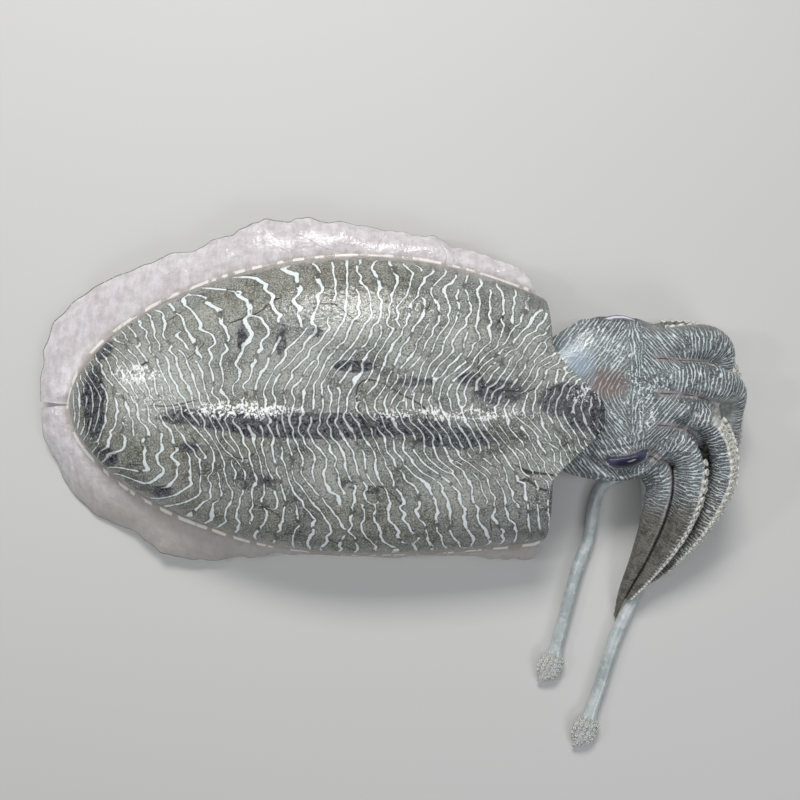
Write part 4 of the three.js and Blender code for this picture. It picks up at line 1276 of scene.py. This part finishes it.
# The olive grey ground with its warm, light and blue-black parts, and its speckles
warm = noise(point, 60.0).between(0.42, 0.6) * (1 - x.between(0.0, 120.0) * 0.7)
warm_colour = mixed(lumps.between(-0.2, 0.2), (0.13, 0.12, 0.08), (0.29, 0.275, 0.215))
darkened = (dark * 2.0 + clouds * 1.6 + lumps * 1.4 + pebbles).between(0.45, 0.95)
# Painted highlights: bright white sparkles laid into the colour in the places listed above; elsewhere only faint white
# specks of the skin
painted_sparkle = spots_added(x, y, PAINTED_SPARKLE_BACK)
speck_and_painted_sparkle = (noise(point, 2.1, 2.0, 0.7) + painted_sparkle * 0.2 + lumps * 0.4).between(0.69, 0.73)
back = layered(
    mixed(clouds.between(-0.16, 0.16), (0.06, 0.065, 0.058), (0.27, 0.285, 0.265)),
    (lumps.between(-0.2, 0.25) * 0.5, (0.34, 0.365, 0.36)),
    (warm * 0.55, warm_colour),
    (light * (lumps * 0.8 + 1.0), (0.5, 0.52, 0.48)),
    (darkened, (0.005, 0.007, 0.028)),
    (pebbles.between(-0.16, 0.16) * 0.3, (0.36, 0.37, 0.33)),
    (grain.between(0.07, 0.15) * (0.65 - darkened * 0.35), (0.6, 0.63, 0.62)),
    ((grain * -1).between(0.05, 0.13) * 0.65, (0.03, 0.03, 0.028)),
    (halo * 0.55, (0.05, 0.05, 0.045)),
    (crack * 0.9, (0.016, 0.015, 0.015)),
    (line * (1 - darkened * 0.35), (0.8, 0.86, 0.87)),
    (speck_and_painted_sparkle * (painted_sparkle * 0.95 + 0.05), (0.95, 0.97, 0.97)),
)

# The fins, pale with faint streaks across them and browner on the right and near the root
streaks = noise(combined(x, beyond * 0.22, 0.0), 3.4, 2.0, 0.6)
fin_colour = layered(
    mixed(lumps.between(-0.2, 0.2), (0.58, 0.545, 0.565), (0.73, 0.705, 0.73)),
    (streaks.between(0.48, 0.62) * 0.22, (0.45, 0.39, 0.42)),
    (grain.between(0.08, 0.2) * 0.35, (0.3, 0.24, 0.22)),
    ((y * -1).between(30.0, 90.0) * 0.65, (0.4, 0.37, 0.33)),
    ((1 - (trim + lumps * 6).between(1.0, 8.0)) * 0.7, (0.34, 0.3, 0.26)),
)

# The strip without bars along the mantle's edge, and the dashed pale line beside it
forward = x.between(110.0, 150.0)
rim_colour = layered(
    mixed(lumps.between(-0.2, 0.2), (0.24, 0.22, 0.19), (0.44, 0.41, 0.37)),
    (grain.between(0.02, 0.12) * 0.5, (0.13, 0.11, 0.09)),
    (forward * 0.85, (0.05, 0.055, 0.05)),
)
dash = 1 - (trim + clouds * 3 - 2.6).maths("ABSOLUTE").between(0.9, 1.5)
dash = dash * noise(combined(x, y * 0.4, 0.0), 8.0, 1.0).between(0.45, 0.5)
colour = layered(
    back,
    ((outside + lumps * 5).between(-6.5, -3.5) * (0.7 - forward * 0.35), rim_colour),
    ((outside + pebbles * 1.5).between(-0.6, 0.6), fin_colour),
    (dash * 0.85, (0.88, 0.87, 0.83)),
)
height = grain * 0.1 + pebbles * 0.45 + lumps * 0.5 + line * 0.1 - crack * 0.4 + dash * 0.25
dress(skin_material, shader, colour, height, 0.001, 0.85)

# %% [markdown]
# The head and arms carry much finer white stripes than the back. A count of stripes along the head or the arm gives
# them, and the count slips by one round scattered points, so that the stripes wander, fork and end as real ones do.
# The head has three such counts, one behind the other: the rear and front ones lean into an arrowhead.

# %% Stripes that fork
ARM_STRIPES, REAR_STRIPES, MIDDLE_STRIPES, FRONT_STRIPES = 2.5, 3.2, 2.6, 3.3
FORKS = 5.0


def forked_stripes(place, distance, pattern):
    """Cosine of a stripe count that slips by one here and there; 1 on a stripe."""
    real = noise(pattern, FORKS, 1.0) - 0.42
    imaginary = along_axis(noise(pattern, FORKS, 1.0, output=1), 2) - 0.5
    slip = imaginary.maths("ARCTAN2", real)
    wobble = swing(pattern, 3.4, 1.0) * 6.5 + swing(pattern, 1.6, 1.0) * 3.0
    return (place * (1 / distance) * (2 * math.pi) + slip + wobble).maths("COSINE")


def folded(y, centre):
    """Distance from the head's midline, rounded off on it."""
    return ((y - centre) * (y - centre) + 40) ** 0.5


# %% Finish of the head and arms
arm_material, shader, start = new_material("arm finish", 0.18, specular=0.3)
point = place_in_mm(start)
x, y, z = (along_axis(point, axis) for axis in (0, 1, 2))
arm_along, arm_round, oral, limb_number, seam, arm_share, eye_gap = (
    attribute(start, name) for name in (*LIMB_FIELDS, "arm_share", "eye_gap")
)
grain, lumps, clouds = swing(point, 0.95, 2.0, 0.6), swing(point, 6.0, 3.0, 0.55), swing(point, 22.0)
lumpy_x, lumpy_y = x + lumps * 16, y + clouds * 16

# The stripes of the arms and the three parts of the head, and a netted place between them
arm_place = combined(arm_along, arm_round * 0.45, limb_number * 37.0)
rear_place, front_place = x - folded(y, 9) * 0.85, x + folded(y, 17) * 0.95
rear_pattern, front_pattern = (combined(place * 0.85, y * 0.4, z * 0.4) for place in (rear_place, front_place))
arm_lines = forked_stripes(arm_along, ARM_STRIPES, arm_place)
rear_lines = forked_stripes(rear_place, REAR_STRIPES, rear_pattern)
middle_lines = forked_stripes(x, MIDDLE_STRIPES, combined(x, y * 0.45, z * 0.45))
front_lines = forked_stripes(front_place, FRONT_STRIPES, front_pattern)
ragged_x = lumpy_x - (y - 14).maths("ABSOLUTE") * 0.12
to_middle, to_front = ragged_x.between(208.0, 213.0), ragged_x.between(219.0, 224.0)
head_lines = rear_lines * (1 - to_middle) + middle_lines * to_middle * (1 - to_front) + front_lines * to_front
netted = spot(x, y, (228, 16), (24, 13)) * (1 - arm_share * 0.6)
net = swing(point, 3.6, 1.0).maths("ABSOLUTE") * -12 + 1.15
wave = arm_lines * arm_share + head_lines * (1 - arm_share) + lumps * 1.5 + grain * 0.7
wave = wave * (1 - netted * 0.55) + netted * net
inner_side = arm_share * arm_along.between(34.0, 46.0)
lines = wave.between(0.5, 0.95) * clouds.between(-0.25, -0.14) * (1 - oral.between(0.1, 0.35) * inner_side)
gaps = (wave * -1).between(0.2, 0.8)

# Places with a colour of their own: a stain, the far edge, the plain outer arms and bands between arms; and painted
# shade, nearly black, in the grooves and creases between arms
stain = spot(lumpy_x, lumpy_y, (196, 15), (19, 13))
far_edge = (y + lumps * 5).between(50.0, 57.0) * x.between(222.0, 232.0)
outer_arm = (y * -1 - 58 + lumps * 30).between(0.0, 30.0)
first_arm = 1 - limb_number.between(0.3, 0.7)
plain = outer_arm * (1 - first_arm * 0.6) * (1 - oral.between(-0.25, 0.1) * 0.7)
band = 1 - (seam + lumps * 2).between(2.6, 4.2)
band = band * (1 - arm_along.between(50.0, 66.0)) * arm_along.between(-6.0, 2.0)
painted_groove_shade = (1 - (seam + lumps * 0.8).between(0.3, 2.2)) * (y * -1).between(34.0, 50.0)
ridge = (arm_along * 1.3 + lumps * 4).maths("SINE")
dome = spot(x, y, (289, -9), (13, 18)) * (1 - oral.between(0.12, 0.3))
# Painted highlights: bright white sparkles laid into the colour in the places listed above; elsewhere only faint white
# specks of the skin
painted_sparkle = spots_added(x, y, PAINTED_SPARKLE_HEAD)
speck_and_painted_sparkle = (noise(point, 2.0, 2.0, 0.7) + painted_sparkle * 0.14 + lumps * 0.3).between(0.7, 0.75)
outer_colour = mixed(lumps.between(-0.15, 0.15), (0.085, 0.075, 0.058), (0.165, 0.15, 0.125))
band_colour = mixed(gaps, (0.34, 0.31, 0.32), (0.22, 0.2, 0.21))
inner_colour = mixed(ridge.between(-0.4, 0.6), (0.5, 0.5, 0.46), (0.88, 0.88, 0.84))
dome_colour = mixed(lumps.between(-0.15, 0.15), (0.2, 0.215, 0.2), (0.36, 0.38, 0.36))
colour = layered(
    mixed(clouds.between(-0.15, 0.15), (0.135, 0.155, 0.165), (0.22, 0.25, 0.265)),
    (spot(lumpy_x, lumpy_y, (202, 36), (24, 16)) * 0.5, (0.42, 0.47, 0.49)),
    (gaps * 0.42, (0.055, 0.06, 0.068)),
    (grain.between(0.04, 0.14) * 0.45, (0.5, 0.52, 0.5)),
    ((grain * -1).between(0.02, 0.1) * 0.6, (0.045, 0.045, 0.042)),
    (spot(lumpy_x, lumpy_y, (176, 8), (18, 46)) * 0.75, (0.33, 0.42, 0.52)),
    (stain * (0.35 + grain.between(-0.1, 0.1) * 0.6), (0.2, 0.13, 0.105)),
    (far_edge * 0.8, (0.17, 0.18, 0.165)),
    (outer_arm * 0.85, outer_colour),
    (grain.between(0.06, 0.14) * outer_arm * 0.4, (0.34, 0.32, 0.28)),
    (lines * (1 - plain * 0.93) * (1 - far_edge * 0.8) * (1 - stain * 0.45), (0.68, 0.745, 0.765)),
    (band * 0.8, band_colour),
    # Painted shade: a dark line in the crease where two arms meet inside the bands
    ((1 - seam.between(0.3, 1.0)) * band * 0.85, (0.03, 0.028, 0.03)),
    # Painted shade: nearly black in the grooves between the right arms
    (painted_groove_shade * 0.92, (0.012, 0.011, 0.011)),
    ((oral + lumps * 0.25).between(0.12, 0.3) * inner_side, inner_colour),
    (dome * 0.8, dome_colour),
    ((1 - eye_gap.between(1.0, 1.6)) * 0.7, (0.07, 0.07, 0.075)),
    (speck_and_painted_sparkle * (painted_sparkle * 0.9 + 0.05), (0.93, 0.96, 0.98)),
)
height = grain * 0.12 + noise(point, 2.4, 1.0) * 0.3 + lumps * 0.5 - painted_groove_shade * 1.5 + lines * 0.3
height = height + ridge * 0.12 * oral.between(0.0, 0.3)
dress(arm_material, shader, colour, height, 0.0009, 0.8)

# %% [markdown]
# Tentacles and suckers have no stripes. The tentacles' flesh is pearly and cloudy, greyer on the clubs, and speckled
# with fine pigment dots. Each sucker is white with a darker hollow. The eyes are the glossiest things here: nearly
# black with a blue sheen towards the rim, and silvery along the upper edge of the left one.

# %% Finish of the tentacles, funnel and mouth
pale_material, shader, start = new_material("pale finish", 0.28, coat=0.3)
point = place_in_mm(start)
veil, dots, threads = noise(point, 14.0, 3.0), noise(point, 1.0, 1.0), noise(point, 4.0, 2.0, 0.6)
club_colour = mixed(threads.between(0.4, 0.6), (0.3, 0.3, 0.36), (0.56, 0.55, 0.6))
colour = layered(
    mixed(veil.between(0.35, 0.65), (0.36, 0.41, 0.42), (0.53, 0.58, 0.585)),
    (threads.between(0.5, 0.62) * 0.5, (0.62, 0.66, 0.66)),
    (attribute(start, "club") * 0.75, club_colour),
    (dots.between(0.64, 0.7) * 0.5, (0.2, 0.17, 0.16)),
)
dress(pale_material, shader, colour, threads * 0.6 + dots * 0.2, 0.0006, 0.7)

# %% Finish of the suckers
sucker_material, shader, start = new_material("sucker finish", 0.25)
point = place_in_mm(start)
wear = noise(point, 3.0)
colour = mixed(wear.between(0.35, 0.65), (0.62, 0.62, 0.56), (0.85, 0.85, 0.82))
colour = mixed(attribute(start, "cup") * 0.75, colour, (0.26, 0.24, 0.2))
dress(sucker_material, shader, colour, noise(point, 0.6, 1.0), 0.0003, 0.6)

# %% Finish of the eyes
eye_material, shader, start = new_material("eye finish", 0.09)
eye_along, eye_up, silver = (attribute(start, name) for name in BALL_FIELDS)
cloudy = swing(place_in_mm(start), 5.0, 3.0)
across_eye = (eye_along * eye_along + eye_up * eye_up * 2.0) ** 0.5 + cloudy * 0.25
colour = mixed(across_eye.between(0.3, 0.9), (0.02, 0.02, 0.038), (0.07, 0.075, 0.125))
colour = mixed((silver + cloudy * 0.2).between(0.25, 0.45), colour, (0.72, 0.7, 0.82))
dress(eye_material, shader, colour, cloudy, 0.0004, 0.3)

# %% Finish of the lids
lid_material, shader, start = new_material("lid finish", 0.3)
lid_grain = noise(place_in_mm(start), 1.2, 3.0, 0.6)
colour = mixed(lid_grain.between(0.35, 0.65), (0.07, 0.07, 0.08), (0.3, 0.31, 0.33))
dress(lid_material, shader, colour, lid_grain, 0.0006, 0.8)

# %% [markdown]
# Each piece gets its finish, rides on the one body and hides the imported solids that it stands for. The funnel and the
# mouth are shown as they are, with the tentacles' finish.

# %% Pieces


def nodes_named(start):
    return tuple(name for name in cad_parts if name.startswith(start))


mantle = new_object("mantle_skin", mantle_mesh)
pieces = [
    (mantle, skin_material, "mantle_skin", ("mantle", "fin_left", "fin_right")),
    (head_skin, arm_material, "head_skin", ("head",) + nodes_named("arm_")),
    (suckers, sucker_material, "arm_skin", ()),
]
for skin, limb in tentacle_skins:
    pieces.append((skin, pale_material, "pale_skin", nodes_named(limb["name"])))
for ball, lid, name in eye_pieces:
    pieces.append((ball, eye_material, "eye", (name,)))
    pieces.append((lid, lid_material, "head_skin", ()))
for obj, material, slot, replaced in pieces:
    obj.data.materials.clear()
    obj.data.materials.append(material)
    shade_smooth(obj.data)
    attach(obj, "root")
    if replaced:
        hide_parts(*replaced)
for name in ("funnel", "mouth"):
    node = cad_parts[name]
    node.data.materials.clear()
    node.data.materials.append(pale_material)
print("pieces", [obj.name for obj, _, _, _ in pieces])

# %% [markdown]
# The photograph's light is cool daylight from above and behind. A key lamp on the far side, a weaker fill, a small lamp
# at the tail and a narrow strip over the back give its shading and its hard small reflections on a pale floor. The
# brightest sparkles on the back and head are painted highlights in the skins' colour.

# %% Floor
FLOOR_HALF = 6.0
FLOOR_COLOUR = (0.62, 0.62, 0.61, 1)

bm = bmesh.new()
bmesh.ops.create_grid(bm, x_segments=1, y_segments=1, size=FLOOR_HALF)
floor = new_object("floor", mesh_from(bm, "floor"))
floor_material, shader, _ = new_material("floor finish", 0.7)
shader.inputs["Base Color"].default_value = FLOOR_COLOUR
floor.data.materials.append(floor_material)
print("floor", 2 * FLOOR_HALF, "m wide")

# %% Lamps and sky
# Name, place, target, width and height in metres, power in watts and colour
LAMPS = (
    ("key", (-0.15, 1.25, 1.25), (0.05, 0, 0), (0.7, 0.42), 21.5, (1, 0.985, 0.96)),
    ("fill", (0.9, -0.95, 1.1), (0.05, 0, 0), (0.6, 0.5), 4.5, (0.92, 0.96, 1)),
    ("tail", (-1.2, 0.12, 1.1), (0, 0, 0), (0.16, 0.16), 3, (1, 1, 1)),
    ("strip", (0.03, 0.01, 1.5), (0.03, 0.01, 0), (2.2, 0.02), 6, (1, 1, 1)),
)
SKY_COLOUR = (0.9, 0.93, 1, 1)
SKY_STRENGTH = 0.12

for name, place, target, size, power, colour in LAMPS:
    data = bpy.data.lights.new(name, "AREA")
    data.shape = "RECTANGLE"
    data.size, data.size_y = size
    data.energy = power
    data.color = colour
    lamp = bpy.data.objects.new(name, data)
    lamp.location = place
    lamp.rotation_euler = (Vector(target) - Vector(place)).to_track_quat("-Z", "Y").to_euler()
    bpy.context.scene.collection.objects.link(lamp)
world = bpy.data.worlds.new("studio")
world.use_nodes = True
sky = world.node_tree.nodes["Background"]
sky.inputs["Color"].default_value = SKY_COLOUR
sky.inputs["Strength"].default_value = SKY_STRENGTH
bpy.context.scene.world = world
bpy.context.scene.view_settings.view_transform = "Standard"
print("lamps", [row[0] for row in LAMPS])
